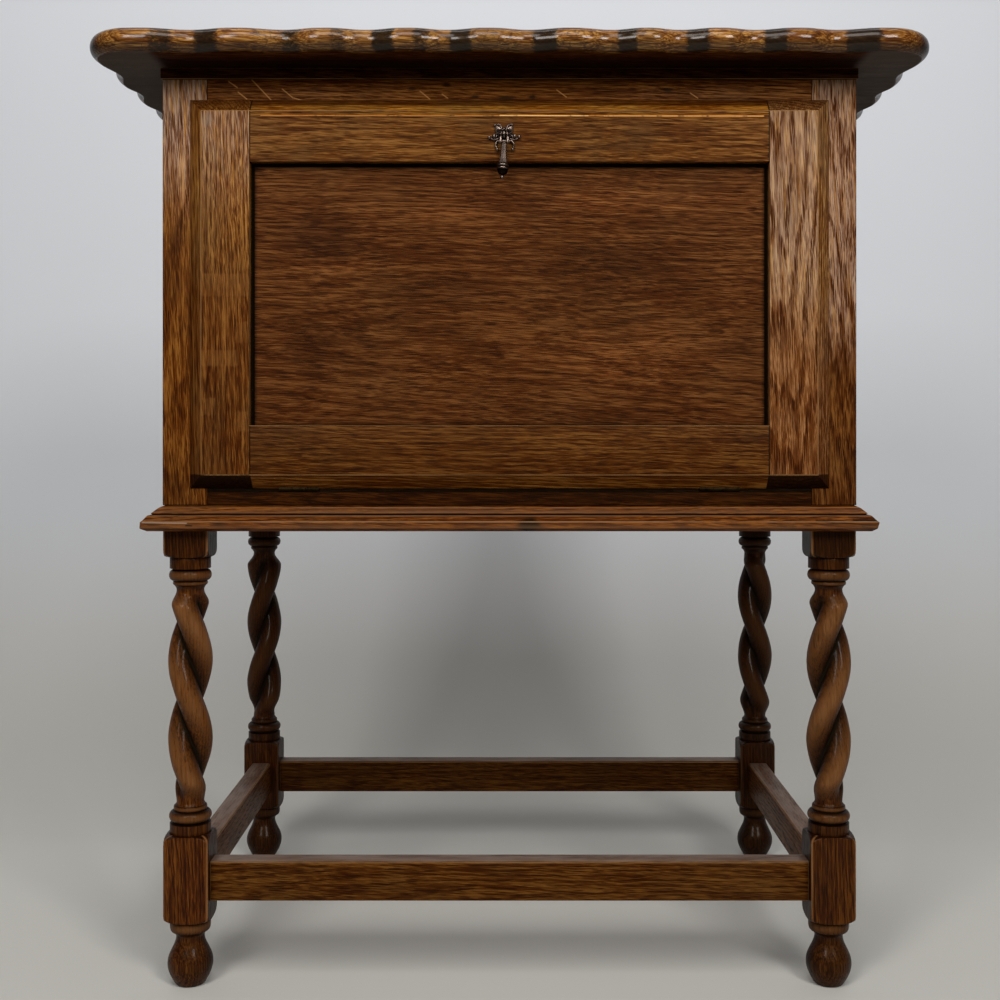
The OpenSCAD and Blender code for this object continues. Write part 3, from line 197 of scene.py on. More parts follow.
def board_place(t, middle, grain, heart, seed):
    """The place in the log: first along the grain, then across it, from the board's middle."""
    apart = t.add("SeparateXYZ", {0: t.place()})
    order = GRAIN_ORDER[grain]
    ordered = t.add("CombineXYZ", {i: apart.outputs[axis] for i, axis in enumerate(order)})
    centre = [middle["XYZ".index(axis)] for axis in order]
    centred = t.vector("SUBTRACT", ordered.outputs[0], centre)
    return t.add("Mapping", {"Vector": centred, "Location": (seed,) + heart,
                             "Rotation": LEAN}).outputs[0]


# %% [markdown]
# The same oak looks different from board to board, because each took the stain in its own way. A
# stain filters light, so it multiplies the wood's colours: the stain argument gives what it lets
# through of red, green and blue. For some boards it also carries painted shade, darker where they
# stand in shadow (the rail under the flap, the board under the top, the back legs and back bar),
# and for the top's underside painted light from below. Thicker stain takes blue away first, then
# green, so the dark lines of the grain are not grey but a deep red brown. Pores and end grain drink
# more stain, and multiply once more. A board's upper part is made lighter above two heights, by a
# gain: partly bleaching by sun and dusters, partly painted light that offsets the shade under the
# top's overhang.

# %% The oak recipe
OAK_TONES = ("#9c7142", "#6b401a", "#492104")
CHESTNUT_TONES = ("#96613c", "#69391b", "#471d07")
HAZE, PORE_BLACK, WAX_AND_SHADE_BLACK = "#5c4630", "#1a0a02", "#060301"
PORE_STAIN, END_STAIN = (0.30, 0.19, 0.09), (0.30, 0.20, 0.10)
RINGS_A_METRE, RAGGED = 340, 0.06


def stained(code, stain):
    return tuple(c * s for c, s in zip(shade(code), stain)) + (1.0,)


def oak(name, middle, grain, stain=(1, 1, 1), tones=OAK_TONES, heart=(0.03, 0.09), seed=0.0,
        wave=8.0, pores=0.85, bands=0.5, gloss=0.40, shine=0.12, coat=0.0, patina=0.3,
        worn="#8f6a42", fade=None, extra=None):
    t = Circuit(name)
    board = board_place(t, middle, grain, heart, seed)
    grown = t.pushed(board, t.noise(board, (4, 12, 12)), wave * MM)
    radius = t.vector("LENGTH", t.vector("MULTIPLY", grown, (0, 1, 1)))
    slow = t.cloud(board, (1.5, 30, 30), 2.0)
    season = t.maths("FRACT", t.plus((radius, RINGS_A_METRE), (slow, 3.0)))
    early = t.times(t.rise(season, 0.0, 0.12), t.rise(season, 0.62, 0.22))

    fibre = t.cloud(grown, (42, 1250, 1250), 3.0, 0.6)
    streak = t.cloud(grown, (7, 280, 280), 3.0, 0.6)
    patch = t.cloud(board, (7, 30, 30), 4.0, 0.6)
    bloom = t.cloud(board, (11, 16, 16), 3.0, 0.65)
    cells = t.add("TexVoronoi", {"Vector": t.vector("MULTIPLY", grown, (48, 950, 950)),
                                 "Scale": 1.0}).outputs["Distance"]
    reach = t.plus((early, 0.40 * bands), (fibre, 0.24))
    inside = t.maths("SUBTRACT", reach, t.maths("SUBTRACT", cells, 0.26 - 0.21 * bands))
    pore = t.times(t.rise(inside, -0.10, 0.07), pores)

    tone = t.plus((streak, 0.52), (patch, 0.24), (fibre, 0.86), (early, 0.12 * bands))
    ramp = t.add("ValToRGB", {0: t.rise(tone, 0.62, 1.02)})
    stops = ramp.color_ramp.elements
    stops[0].color, stops[1].color = stained(tones[0], stain), stained(tones[2], stain)
    stops.new(0.5).color = stained(tones[1], stain)
    colour = t.layer(t.times(t.rise(bloom, 0.44, 0.68), patina), ramp.outputs[0],
                     stained(HAZE, stain))
    colour = t.tint(colour, PORE_STAIN, pore)
    end_grain = t.maths("ABSOLUTE", t.along(grain, "Normal"))
    colour = t.tint(colour, END_STAIN, t.rise(end_grain, 0.4, 0.9))
    # Lighter above the two heights: partly bleaching, partly painted light.
    if fade:
        low, high, gain = fade
        height = t.plus((t.along("Z"), 1.0), (patch, RAGGED), (bloom, RAGGED))
        colour = t.tint(colour, gain, t.rise(height, low + RAGGED, high + RAGGED))
    if extra:
        colour = extra(t, board, colour)

    rub = t.rise(t.plus((fibre, 0.8), (patch, 0.8), (streak, 0.6)), 0.80, 1.30)
    colour = t.paint(colour, worn, t.times(t.mark("wear"), rub))
    # Near-black over the mesh's dark mark: wax in the joints, and painted shade where the mark is
    # set for it.
    grime = t.mark("grime")
    dirt_and_shade = t.times(grime, t.rise(t.maths("ADD", patch, fibre), 0.45, 0.95))
    dirt_and_shade = t.maths("MAXIMUM", dirt_and_shade, t.rise(grime, 0.35, 0.9))
    colour = t.paint(colour, WAX_AND_SHADE_BLACK, dirt_and_shade)

    rough = t.plus((pore, 0.22), (patch, 0.16), (dirt_and_shade, 0.3))
    height = t.plus((fibre, 0.5), (pore, -1.0), (early, -0.2))
    bump = t.add("Bump", {"Height": height, "Strength": 0.4, "Distance": 0.25 * MM})
    t.wire(t.shader, {"Base Color": colour, "Roughness": t.maths("ADD", rough, gloss - 0.08),
                      "Specular IOR Level": shine, "Specular Tint": (1.0, 0.60, 0.30, 1.0),
                      "Normal": bump.outputs[0]})
    if coat:
        t.wire(t.shader, {"Coat Weight": coat, "Coat Roughness": 0.12})
    return t.material


# %% [markdown]
# ## Finishing helpers
# Every new piece ends the same way: its doubles are merged, its faces turned outwards, and the
# plain solids it stands for are hidden. Most pieces ride on the body of those solids; a piece with
# `bends_to` is only baked in place.

# %% Turn a bmesh into a piece
def make_piece(bm, name, material, *stands_for, smooth_below=35, bends_to=None):
    """Writes bm to an object that stands in for the named nodes, which it hides, and rides on their
    body. With `bends_to`, the object is only baked in place and rides on no body."""
    bmesh.ops.remove_doubles(bm, verts=bm.verts, dist=1e-6)
    bmesh.ops.recalc_face_normals(bm, faces=bm.faces)
    limit = radians(smooth_below)
    for face in bm.faces:
        face.smooth = True
    for edge in bm.edges:
        edge.smooth = not edge.is_manifold or edge.calc_face_angle(0.0) < limit
    mesh = bpy.data.meshes.new(name)
    bm.to_mesh(mesh)
    bm.free()
    mesh.materials.append(material)
    piece = bpy.data.objects.new(name, mesh)
    bpy.context.scene.collection.objects.link(piece)
    if bends_to:
        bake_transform(piece)
    else:
        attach(piece, body_of[stands_for[0]])
    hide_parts(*stands_for)
    print(name, "has", len(mesh.polygons), "faces")
    return piece


# %% [markdown]
# A board's edges are never sharp: the plane takes them off, and hands wear them pale. Where two
# boards meet, the little valley between them fills with dark wax. So each eased edge carries a
# number, for wear or for the dark mark, that the finish reads.

# %% Copy a board and ease its edges
def merged_copy(name):
    bm = bmesh.new()
    bm.from_mesh(nodes[name].data)
    bmesh.ops.remove_doubles(bm, verts=bm.verts, dist=2e-6)
    bmesh.ops.dissolve_limit(bm, angle_limit=radians(0.4), verts=bm.verts, edges=bm.edges)
    return bm


def on_plane(axis, place):
    """Picks the edges that lie in one plane, such as a board's face."""
    return lambda a, b: abs(a[axis] - place) < 2e-5 and abs(b[axis] - place) < 2e-5


def long_edges(a, b):
    return (a - b).length > 12 * MM


def gap_to(place, line):
    """The distance from a place to the stretch between two others."""
    foot, share = geometry.intersect_point_line(place, *line)
    foot = line[0] if share < 0 else line[1] if share > 1 else foot
    return (place - foot).length


def ease_edges(bm, width, kind, where):
    """Bevels the convex edges that `where` picks, and marks the new faces' middle as `kind`."""
    marks = bm.verts.layers.float.get(kind) or bm.verts.layers.float.new(kind)
    edges = [e for e in bm.edges
             if e.is_manifold and e.calc_face_angle_signed(0.0) > radians(20)
             and where(e.verts[0].co, e.verts[1].co)]
    if not edges:
        return 0
    old_lines = [[v.co.copy() for v in e.verts] for e in edges]
    made = bmesh.ops.bevel(bm, geom=edges, offset=width, offset_type="OFFSET", affect="EDGES",
                           segments=2, profile=0.5, material=-1, clamp_overlap=True)
    bm.normal_update()
    faces = set(made["faces"])
    for vert in {v for face in faces for v in face.verts}:
        near = min(old_lines, key=lambda line: gap_to(vert.co, line))
        along = (near[1] - near[0]).normalized()
        if all(face in faces or abs(face.normal.dot(along)) > 0.7 for face in vert.link_faces):
            vert[marks] = 1.0
    return len(edges)


def middle_of(name):
    low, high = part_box(name)
    return [(low[i] + high[i]) / 2 for i in range(3)]


def dress_board(name, grain, eases=(), shaped=None, **recipe):
    """Each ease: its width in mm, the mark it leaves, and the rule that picks its edges."""
    bm = merged_copy(name)
    eased = sum(ease_edges(bm, width * MM, kind, where) for width, kind, where in eases)
    if shaped:
        shaped(bm)
    material = oak("oak_" + name, middle_of(name), grain, **recipe)
    make_piece(bm, "planed_" + name, material, name)
    print(name, "eased edges:", eased)


# %% [markdown]
# ## Carcass boards
# The face frame is two upright stiles with a rail let in between them above and below. Uprights
# have upright grain and rails have level grain, because a board is only strong along its grain.
# Copies of the plain solids keep every joint where it is, and the bevel operator eases them.
#
# What is special to a board is an `extra`, a rule that takes the colour so far and gives it back
# changed. A face frame gets a lighter, greyer upper end, partly dust and bleaching and partly
# painted light and sheen, and black wax in its joints.

# %% Face stiles
FRONT_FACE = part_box("face_rail_top")[0][1]
FRAME_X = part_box("face_rail_top")[1][0]


def frame_edge(a, b):
    return on_plane(1, FRONT_FACE)(a, b) and long_edges(a, b)


def both(*extras):
    def extra(t, board, colour):
        for one in extras:
            colour = one(t, board, colour)
        return colour
    return extra


def film_and_sheen(low, high, share):
    """A grey film painted above a height (m) on faces that look forwards, between the dark pores:
    partly dust and dried polish, partly painted sheen.
    """
    def extra(t, board, colour):
        streaks = t.cloud(board, (14, 420, 420), 3.0, 0.6)
        light = t.add("RGBToBW", {0: colour}).outputs[0]
        mask = t.times(t.rise(t.along("Z"), low, high), t.rise(light, 0.012, 0.09))
        mask = t.times(mask, t.rise(streaks, 0.30, 0.62))
        mask = t.times(mask, t.rise(t.along("Y", "Normal"), -0.85, -0.98))
        return t.paint(colour, "#a8968a", t.times(mask, share))
    return extra


def dark_ends(reach, width):
    """Blackens a rail's last stretch before the joint, `reach` metres from the middle."""
    def extra(t, board, colour):
        mask = t.rise(t.maths("ABSOLUTE", t.along("X")), reach - width * MM,
                      reach - 0.5 * width * MM)
        return t.paint(colour, WAX_AND_SHADE_BLACK, mask)
    return extra


def tinted_from(height, depth, gain, front_above=1.1):
    """Multiplies a board's colour beyond a height (mm), as for a bevel that is lit otherwise. A
    front_above below 1 keeps the tint on faces that look forwards."""
    def extra(t, board, colour):
        mask = t.times(t.rise(t.along("Z"), height * MM, (height + depth) * MM),
                       t.rise(t.along("Y", "Normal"), front_above, front_above - 0.1))
        return t.tint(colour, gain, mask)
    return extra


# The stiles' upper ends get painted light and sheen, with bleaching and dust.
dress_board("face_stile_left", "Z", eases=[(0.6, "grime", frame_edge)], heart=(0.02, 0.11),
            seed=1.3, stain=(0.68, 0.52, 0.26), fade=(0.72, 0.82, (1.9, 2.4, 3.0)),
            extra=film_and_sheen(0.72, 0.82, 0.50))
dress_board("face_stile_right", "Z", eases=[(0.6, "grime", frame_edge)], heart=(-0.03, 0.10),
            seed=2.9, stain=(0.52, 0.40, 0.27), pores=0.95, fade=(0.575, 0.665, (2.1, 2.6, 3.0)),
            extra=film_and_sheen(0.575, 0.665, 0.42))


# %% [markdown]
# Oak has rays, thin plates that run out from the heart. Where the saw meets one at a slant, it
# shows as a pale stroke across the grain. The top rail has a handful. Each is a short line whose
# distance from every point is worked out with two dot products.

# %% Strokes and blots on the face rails
def stroke(t, start, end, width):
    """A mask that is 1 on a line between two points (x, z in mm) of a board's front."""
    along = Vector((end[0] - start[0], 0, end[1] - start[1]))
    unit = along.normalized()
    soft = 1.5
    from_start = t.vector("SUBTRACT", t.place(), (start[0] * MM, 0, start[1] * MM))
    down = t.vector("DOT_PRODUCT", from_start, unit)
    off = t.vector("DOT_PRODUCT", from_start, (unit.z, 0, -unit.x))
    off = t.rise(t.maths("ABSOLUTE", off), width * MM, width * 0.3 * MM)
    ends = t.times(t.rise(down, 0.0, soft * MM),
                   t.rise(down, along.length * MM, (along.length - soft) * MM))
    return t.times(off, ends)


def blot(t, middle, across, high, rag=0.5):
    """A mask that is 1 in the middle (x, z in mm) of a ragged spot and fades to its rim."""
    place = t.place()
    ragged = t.pushed(place, t.noise(place, (60, 60, 60)), rag * high * 2 * MM)
    from_middle = t.vector("SUBTRACT", ragged, (middle[0] * MM, 0, middle[1] * MM))
    scaled = t.vector("MULTIPLY", from_middle, (1 / (across * MM), 0, 1 / (high * MM)))
    return t.rise(t.vector("LENGTH", scaled), 1.0, 0.25)


def ray_strokes(t, board, colour):
    for start, end in (((-268, 866), (-258, 859)), ((-259, 856), (-249, 848)),
                       ((-246, 868), (-226, 847)), ((-217, 859), (-205, 849)),
                       ((-206, 850), (-196, 847)), ((-86, 857), (-75, 848)),
                       ((-65, 854), (-58, 849)), ((44, 858), (55, 850)), ((171, 855), (180, 849))):
        colour = t.paint(colour, "#b88148", t.times(stroke(t, start, end, 0.8), 0.62))
    for x, z, across in ((-93, 859, 7), (-60, 862, 7), (150, 858, 9), (-32, 851, 6),
                         (-4, 850, 13), (22, 851, 6)):
        colour = t.paint(colour, PORE_BLACK, t.times(blot(t, (x, z), across, 3.0, 0.8), 0.9))
    return colour


dress_board("face_rail_top", "X", eases=[(0.5, "grime", frame_edge)], heart=(0.05, 0.06),
            seed=4.1, stain=(0.62, 0.45, 0.24), extra=both(ray_strokes, dark_ends(FRAME_X, 0.9)))
# The rail under the flap: its very dark stain and the darker band at the top of its front are
# painted shadow of the flap.
dress_board("face_rail_bottom", "X", eases=[(0.5, "grime", frame_edge)], heart=(0.02, 0.09),
            seed=5.7, stain=(0.16, 0.09, 0.035),
            extra=both(tinted_from(473.5, 2, (0.06, 0.05, 0.05), -0.8), dark_ends(FRAME_X, 0.9)))

# %% [markdown]
# ## Fall front
# The flap is a frame of four boards around a loose panel, planed off in a broad bevel all round.
# Its front corners are rubbed pale by a century of dusters and its seams hold wax. Its rim is
# darkened, partly by wax and partly as painted shade of the gap around the flap.

# %% Edges of the flap
FLAP_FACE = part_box("flap_rail_top")[0][1]
FLAP_LOW, FLAP_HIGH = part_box("flap_stile_right")
PANEL_LOW, PANEL_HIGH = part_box("flap_rail_bottom")[1][2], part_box("flap_rail_top")[0][2]
PANEL_X = FLAP_LOW[0]
ARRIS_X, ARRIS_LOW, ARRIS_HIGH = 0.28, 0.50, 0.82


def on_flap_face(a, b):
    return on_plane(1, FLAP_FACE)(a, b) and long_edges(a, b)


def flap_arris(a, b):
    """The edges where the flat face of the flap turns into its bevel."""
    outer = min(abs(a.x), abs(b.x)) > ARRIS_X
    return on_flap_face(a, b) and (outer or min(a.z, b.z) > ARRIS_HIGH or max(a.z, b.z) < ARRIS_LOW)


def flap_seam(a, b):
    return on_flap_face(a, b) and not flap_arris(a, b)


def flap_rim(a, b):
    """Where the bevel ends, next to the gap around the flap. Its dark mark is partly old wax and
    partly painted shade of the gap.
    """
    rims = ((2, FLAP_LOW[2]), (2, FLAP_HIGH[2]), (0, FLAP_HIGH[0]), (0, -FLAP_HIGH[0]))
    return any(on_plane(axis, place)(a, b) for axis, place in rims) and long_edges(a, b)


def panel_sill(a, b):
    """The edge of the bottom rail that the panel stands behind, which dusters reach: its pale line
    is partly wear and partly painted highlight.
    """
    return on_flap_face(a, b) and abs(a.z - PANEL_LOW) < 1 * MM


RUBBED, SEAMED = (0.8, "wear", flap_arris), (0.8, "grime", flap_seam)
RIMMED = (0.7, "grime", flap_rim)
print("panel opening:", round(2 * PANEL_X, 4), "by", round(PANEL_HIGH - PANEL_LOW, 4))


# %% Marks on the flap's frame
def block(t, left, right, low, high):
    """A mask that is 1 in a rectangle of the front (mm), with edges that follow the fibres."""
    place = t.place()
    ragged = t.pushed(place, t.noise(place, (220, 0, 60)), 6 * MM)
    apart = t.add("SeparateXYZ", {0: ragged})
    soft = 1.2
    mask = 1.0
    for axis, edge, step in (("X", left, soft), ("X", right, -soft), ("Z", low, soft),
                             ("Z", high, -soft)):
        mask = t.times(t.rise(apart.outputs[axis], (edge - step) * MM, (edge + step) * MM), mask)
    return mask


def ray_plates(t, board, colour):
    fine = t.cloud(board, (20, 700, 700), 3.0, 0.7)
    for place in ((-291, -246, 660, 681), (-257, -246, 616, 635), (-291, -256, 594, 609),
                  (-291, -277, 548, 564), (-258, -247, 533, 551)):
        mask = t.times(block(t, *place), t.rise(fine, 0.68, 0.40))
        colour = t.paint(colour, "#83562a", t.times(mask, 0.3))
    return t.paint(colour, "#6f5a44", t.times(blot(t, (-285, 826), 9, 9, 0.5), 0.45))


def painted_arris_highlight(t, board, colour):
    """A broken pale line painted along the top rail, below its modelled arris, where the arris
    shows:
    a painted highlight, with rubbed bare wood.
    """
    broken = t.cloud(board, (55, 0, 0), 3.0, 0.7)
    for start, end, code in (((-235, 829.9), (240, 829.5), "#a4662a"),
                             ((-10, 829.9), (75, 829.6), "#dba45f"),
                             ((88, 829.5), (240, 829.2), "#c98a45")):
        colour = t.paint(colour, code,
                         t.times(stroke(t, start, end, 0.8), t.rise(broken, 0.35, 0.5)))
    return colour


# Painted shade on the down-facing end bevels at the stiles' feet, which are dark end grain as well.
dark_foot = tinted_from(492.6, -1.2, (0.16, 0.13, 0.11))
# The flap stiles' upper parts too get painted light and sheen, with bleaching and dust.
dress_board("flap_stile_left", "Z", eases=[RUBBED, SEAMED, RIMMED], heart=(0.03, 0.05), seed=7.7,
            stain=(0.61, 0.48, 0.30), patina=0.4, fade=(0.62, 0.80, (1.9, 2.3, 2.6)),
            extra=both(ray_plates, dark_foot, film_and_sheen(0.72, 0.83, 0.30)))
dress_board("flap_stile_right", "Z", eases=[RUBBED, SEAMED, RIMMED], heart=(0.02, 0.13), seed=9.1,
            stain=(0.98, 0.92, 1.05), pores=0.95, bands=0.7, fade=(0.60, 0.70, (1.35, 1.6, 1.6)),
            extra=both(dark_foot, film_and_sheen(0.60, 0.72, 0.28)))
# Painted light and shade on the top rail: a golden band under the bevel and a lighter bevel, a
# darker strip at the very top, and a painted arris highlight.
dress_board("flap_rail_top", "X", eases=[RUBBED, RIMMED], heart=(0.04, 0.07), seed=11.9,
            stain=(0.62, 0.52, 0.34), patina=0.5,
            extra=both(tinted_from(829.8, 0.4, (1.3, 1.3, 0.75)),
                       tinted_from(834.8, 0.6, (1.65, 1.8, 2.0)),
                       tinted_from(840.2, 0.8, (0.35, 0.28, 0.3)),
                       painted_arris_highlight, dark_ends(PANEL_X, 1.5)))
# The down-facing bevel at the foot of this rail is painted lighter: painted light.
dress_board("flap_rail_bottom", "X", eases=[RUBBED, (0.7, "wear", panel_sill)], heart=(0.03, 0.05),
            seed=13.3, stain=(0.42, 0.32, 0.19),
            extra=both(tinted_from(490, -1, (1.7, 1.9, 1.8)), dark_ends(PANEL_X, 1.5)))

# %% [markdown]
# The panel lies loose in the frame's grooves, so that it can shrink. It has a narrow sunk margin,
# along which a black band is painted, partly wax and partly painted shadow of the frame. Cuts close
# together on each side give the step, and what lies beyond the outer cut is moved back. The panel
# is clouded with darker and paler patches.

# %% Panel
MARGIN, MARGIN_STEP, MARGIN_DEPTH, MARGIN_WAX_AND_SHADE = 2.2 * MM, 1.2 * MM, 1.6 * MM, 4.5 * MM
SILL_COVERS = 3.6 * MM
PANEL_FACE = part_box("flap_panel")[0][1]


def sink_margin(bm):
    grime = bm.verts.layers.float.new("grime")
    sides = [(Vector(outward), Vector(edge)) for outward, edge in (
        ((1, 0, 0), (PANEL_X, 0, 0)), ((-1, 0, 0), (-PANEL_X, 0, 0)),
        ((0, 0, 1), (0, 0, PANEL_HIGH)), ((0, 0, -1), (0, 0, PANEL_LOW - SILL_COVERS)))]
    for outward, edge in sides:
        for inset in (MARGIN + MARGIN_WAX_AND_SHADE, MARGIN + MARGIN_STEP, MARGIN):
            bmesh.ops.bisect_plane(bm, geom=bm.verts[:] + bm.edges[:] + bm.faces[:],
                                   plane_co=edge - outward * inset, plane_no=outward)
    for vert in bm.verts:
        if abs(vert.co.y - PANEL_FACE) < 1e-5:
            beyond = max((vert.co - edge).dot(outward) + MARGIN for outward, edge in sides)
            # The black band along the margin: partly wax, partly painted shadow of the frame.
            vert[grime] = min(1.0, max(0.0, 1 + beyond / MARGIN_WAX_AND_SHADE))
            if beyond > -1e-6:
                vert.co.y += MARGIN_DEPTH


def old_marks(t, board, colour):
    """Each mark: its middle, half width and half height (mm), its strength and raggedness."""
    dark, pale = (0.42, 0.36, 0.42), (1.45, 1.5, 1.6)
    for middle, across, high, much, rag, gain in (
            ((-180, 716), 58, 34, 0.75, 0.5, dark), ((-62, 668), 95, 22, 0.55, 0.5, dark),
            ((-190, 606), 34, 58, 0.50, 0.5, dark), ((90, 694), 130, 22, 0.50, 0.5, dark),
            ((120, 752), 150, 17, 0.9, 0.7, pale), ((-160, 690), 70, 9, 0.7, 0.7, pale),
            ((110, 606), 130, 36, 0.7, 0.7, pale), ((-60, 740), 60, 8, 0.6, 0.7, pale)):
        colour = t.tint(colour, gain, t.times(blot(t, middle, across, high, rag), much))
    return colour


dress_board("flap_panel", "X", heart=(0.05, 0.16), seed=15.5, tones=CHESTNUT_TONES,
            stain=(0.49, 0.45, 0.31), wave=11.0, bands=0.4, pores=0.9, patina=0.15,
            shaped=sink_margin, extra=old_marks)

# %% [markdown]
# ## Sides, back and inside
# Framed and panelled sides, a thin back and the softwood blocks that hold the corners.

# %% Sides and back
for side, seed in (("left", 20.0), ("right", 33.0)):
    for k, (name, grain) in enumerate((("side_stile_front_", "Z"), ("side_stile_back_", "Z"),
                                       ("side_rail_top_", "Y"), ("side_rail_bottom_", "Y"))):
        dress_board(name + side, grain, eases=[(0.5, "grime", long_edges)], heart=(0.02 * k, 0.09),
                    seed=seed + 1.7 * k, stain=(0.7, 0.56, 0.34))
    dress_board("side_panel_" + side, "Z", heart=(0.04, 0.12), seed=seed + 9.0,
                tones=CHESTNUT_TONES, stain=(0.55, 0.45, 0.28), wave=11.0, bands=0.3)
# The board under the top: its very dark stain is painted shadow of the top.
dress_board("under_top", "X", eases=[(0.6, "wear", long_edges)], seed=41.0,
            stain=(0.14, 0.09, 0.06), shine=0.05)
dress_board("back_panel", "X", seed=43.0, stain=(0.8, 0.7, 0.5))
dress_board("glue_blocks", "Y", seed=44.0, tones=("#cfa46c", "#b98a52", "#98693a"), pores=0.2)

# %% [markdown]
# ## Stretchers
# Four square bars tie the legs together. Those at the back have a darker stain: painted shade.

# %% Stretchers
def dusty_top(t, board, colour):
    """Dust that has been polished into the faces that look up."""
    mask = t.times(t.rise(t.along("Z", "Normal"), 0.5, 0.95),
                   t.rise(t.cloud(board, (16, 90, 90), 4.0, 0.6), 0.2, 0.7))
    return t.paint(colour, "#7d6a5e", t.times(mask, 0.75))


for name, grain, stain in (("front", "X", (0.45, 0.36, 0.19)), ("back", "X", (0.27, 0.20, 0.10)),
                           ("left", "Y", (0.42, 0.32, 0.18)), ("right", "Y", (0.42, 0.32, 0.18))):
    dress_board("stretcher_" + name, grain, eases=[(0.6, "wear", long_edges)], heart=(0.03, 0.07),
                seed=50.0 + len(name), stain=stain, extra=dusty_top)

# %% [markdown]
# ## Turned legs
# A leg is turned on the lathe, and the two strands of the twist are then cut with a rasp. Its
# whole skin can be raised in one go: a circle of vertices is extruded upwards ring by ring, and
# each ring says how far every vertex stands from the axis. Where the leg is left square, the ring
# is a square that the lathe has cut back at the shoulders.

# %% Ring helpers
SIDES = 96


def around(sides, rule, turn=0.0):
    """One loop: what the rule gives at each of so many angles."""
    return [rule(tau * j / sides + turn) for j in range(sides)]


def raise_loops(bm, loops):
    """Extrudes a ring of edges from loop to loop. A loop is a list of (place, wear, darkening)."""
    wear = bm.verts.layers.float.get("wear") or bm.verts.layers.float.new("wear")
    grime = bm.verts.layers.float.get("grime") or bm.verts.layers.float.new("grime")
    start = bmesh.ops.create_circle(bm, segments=len(loops[0]), radius=1.0)["verts"]
    ring = sorted(start, key=lambda v: atan2(v.co.y, v.co.x) % tau)
    edges = list(dict.fromkeys(e for v in start for e in v.link_edges))
    ends = list(edges)
    for k, loop in enumerate(loops):
        if k:
            made = bmesh.ops.extrude_edge_only(bm, edges=edges)["geom"]
            edges = [g for g in made if isinstance(g, bmesh.types.BMEdge)]
            new = {tuple(g.co): g for g in made if isinstance(g, bmesh.types.BMVert)}
            ring = [new[tuple(v.co)] for v in ring]
        for vert, (place, vert[wear], vert[grime]) in zip(ring, loop):
            vert.co = place
    bmesh.ops.holes_fill(bm, edges=ends + edges, sides=0)


def lathe(radius, wear=0.0, grime=0.0):
    return lambda angle: (radius, wear, grime)


def squared(half, cut):
    """A square of this half width that the lathe has cut back to the radius `cut`."""
    corner = half * sqrt(2)

    def rule(angle):
        side = half / max(abs(cos(angle)), abs(sin(angle)))
        return min(side, cut), (0.9 if side > corner - 0.4 * MM else 0.0), 0.0
    return rule


def skin_loop(height, turn, rule):
    """The rule gives a radius, wear and darkening for each angle."""
    def corner(angle):
        radius, worn, dirty = rule(angle)
        return (radius * cos(angle), radius * sin(angle), height), worn, dirty
    return around(SIDES, corner, turn)


# %% [markdown]
# Each turned form is a short list of rings, a height and a rule: a swept curve between two radii,
# a half-round bead with wax in the creases beside it, or a square block with rounded shoulders.

# %% Heights and forms of a leg
HALF = 21.5 * MM
FOOT_TOP, BLOCK_TOP, TWIST_LOW, TWIST_HIGH, TURN_TOP, STAND, TENON_TOP = (
    h * MM for h in (63, 146, 175.5, 379.5, 412, 438.5, 452.5))
SHOULDER = 8 * MM
LEAD = 151.6 * MM


def swept(low, high, r0, r1, steps, curve):
    """Rings of a turned curve between two heights: curve goes from 0 to 1."""
    return [(low + (high - low) * k / steps, lathe(r0 + (r1 - r0) * curve(k / steps)))
            for k in range(steps + 1)]


def bead_rings(low, high, r_in, r_out, steps=10):
    rings = []
    for k in range(steps + 1):
        a = pi * k / steps - pi / 2
        rings.append(((low + high) / 2 + (high - low) / 2 * sin(a), lathe(
            r_in + (r_out - r_in) * cos(a), wear=0.35 * cos(a) ** 4,
            grime=0.8 * (1 - cos(a)) ** 3)))
    return rings


def block_rings(low, high, high_end, steps=8):
    """A square block with a shoulder below, and above too where high_end is 1."""
    inner, outer = HALF - 1.0 * MM, HALF * sqrt(2) - 0.6 * MM
    rings = []
    for end, shoulder, order in ((low, 1, range(steps + 1)),
                                 (high, -high_end, range(steps, -1, -1))):
        for k in order:
            a = pi / 2 * k / steps
            cut = inner + (outer - inner) * sin(a) if shoulder else outer
            rings.append((end + shoulder * SHOULDER * (1 - cos(a)), squared(HALF, cut)))
    return rings


def creased(radius, *heights):
    return [(height, lathe(radius, grime=1.0)) for height in heights]


def ease_in(t):
    t = min(1.0, max(0.0, t))
    return t * t * (3 - 2 * t)


def flared(t):
    return 1 - cos(pi / 2 * t)


# %% [markdown]
# The twist is two strands that wind about the axis, one turn in every `LEAD`. A ring across them
# is a waisted oval, turned a little further than the one below. The rasp leaves it uneven, so some
# noise goes into the radius. Hands and dusters polish the crests, and dirt stays in the hollows.

# %% Twist
NECK, HOLLOW, CREST, WOBBLE = 13.0 * MM, 9 * MM, 12 * MM, 0.35 * MM


def strand(angle, soft=0.15):
    return ((sqrt(cos(angle) ** 2 + soft * soft) - soft)
            / (sqrt(1 + soft * soft) - soft))


def twisted(turn, swell, height, seed):
    def rule(angle):
        up = strand(angle - turn)
        wobble = noise.noise(Vector((3 * cos(angle), 3 * sin(angle),
                                     seed + height * 30))) * WOBBLE
        radius = NECK + (HOLLOW + CREST * up - NECK) * swell + wobble * swell
        return radius, 0.55 * swell * up ** 2.5, swell * (1 - up) ** 1.6
    return rule


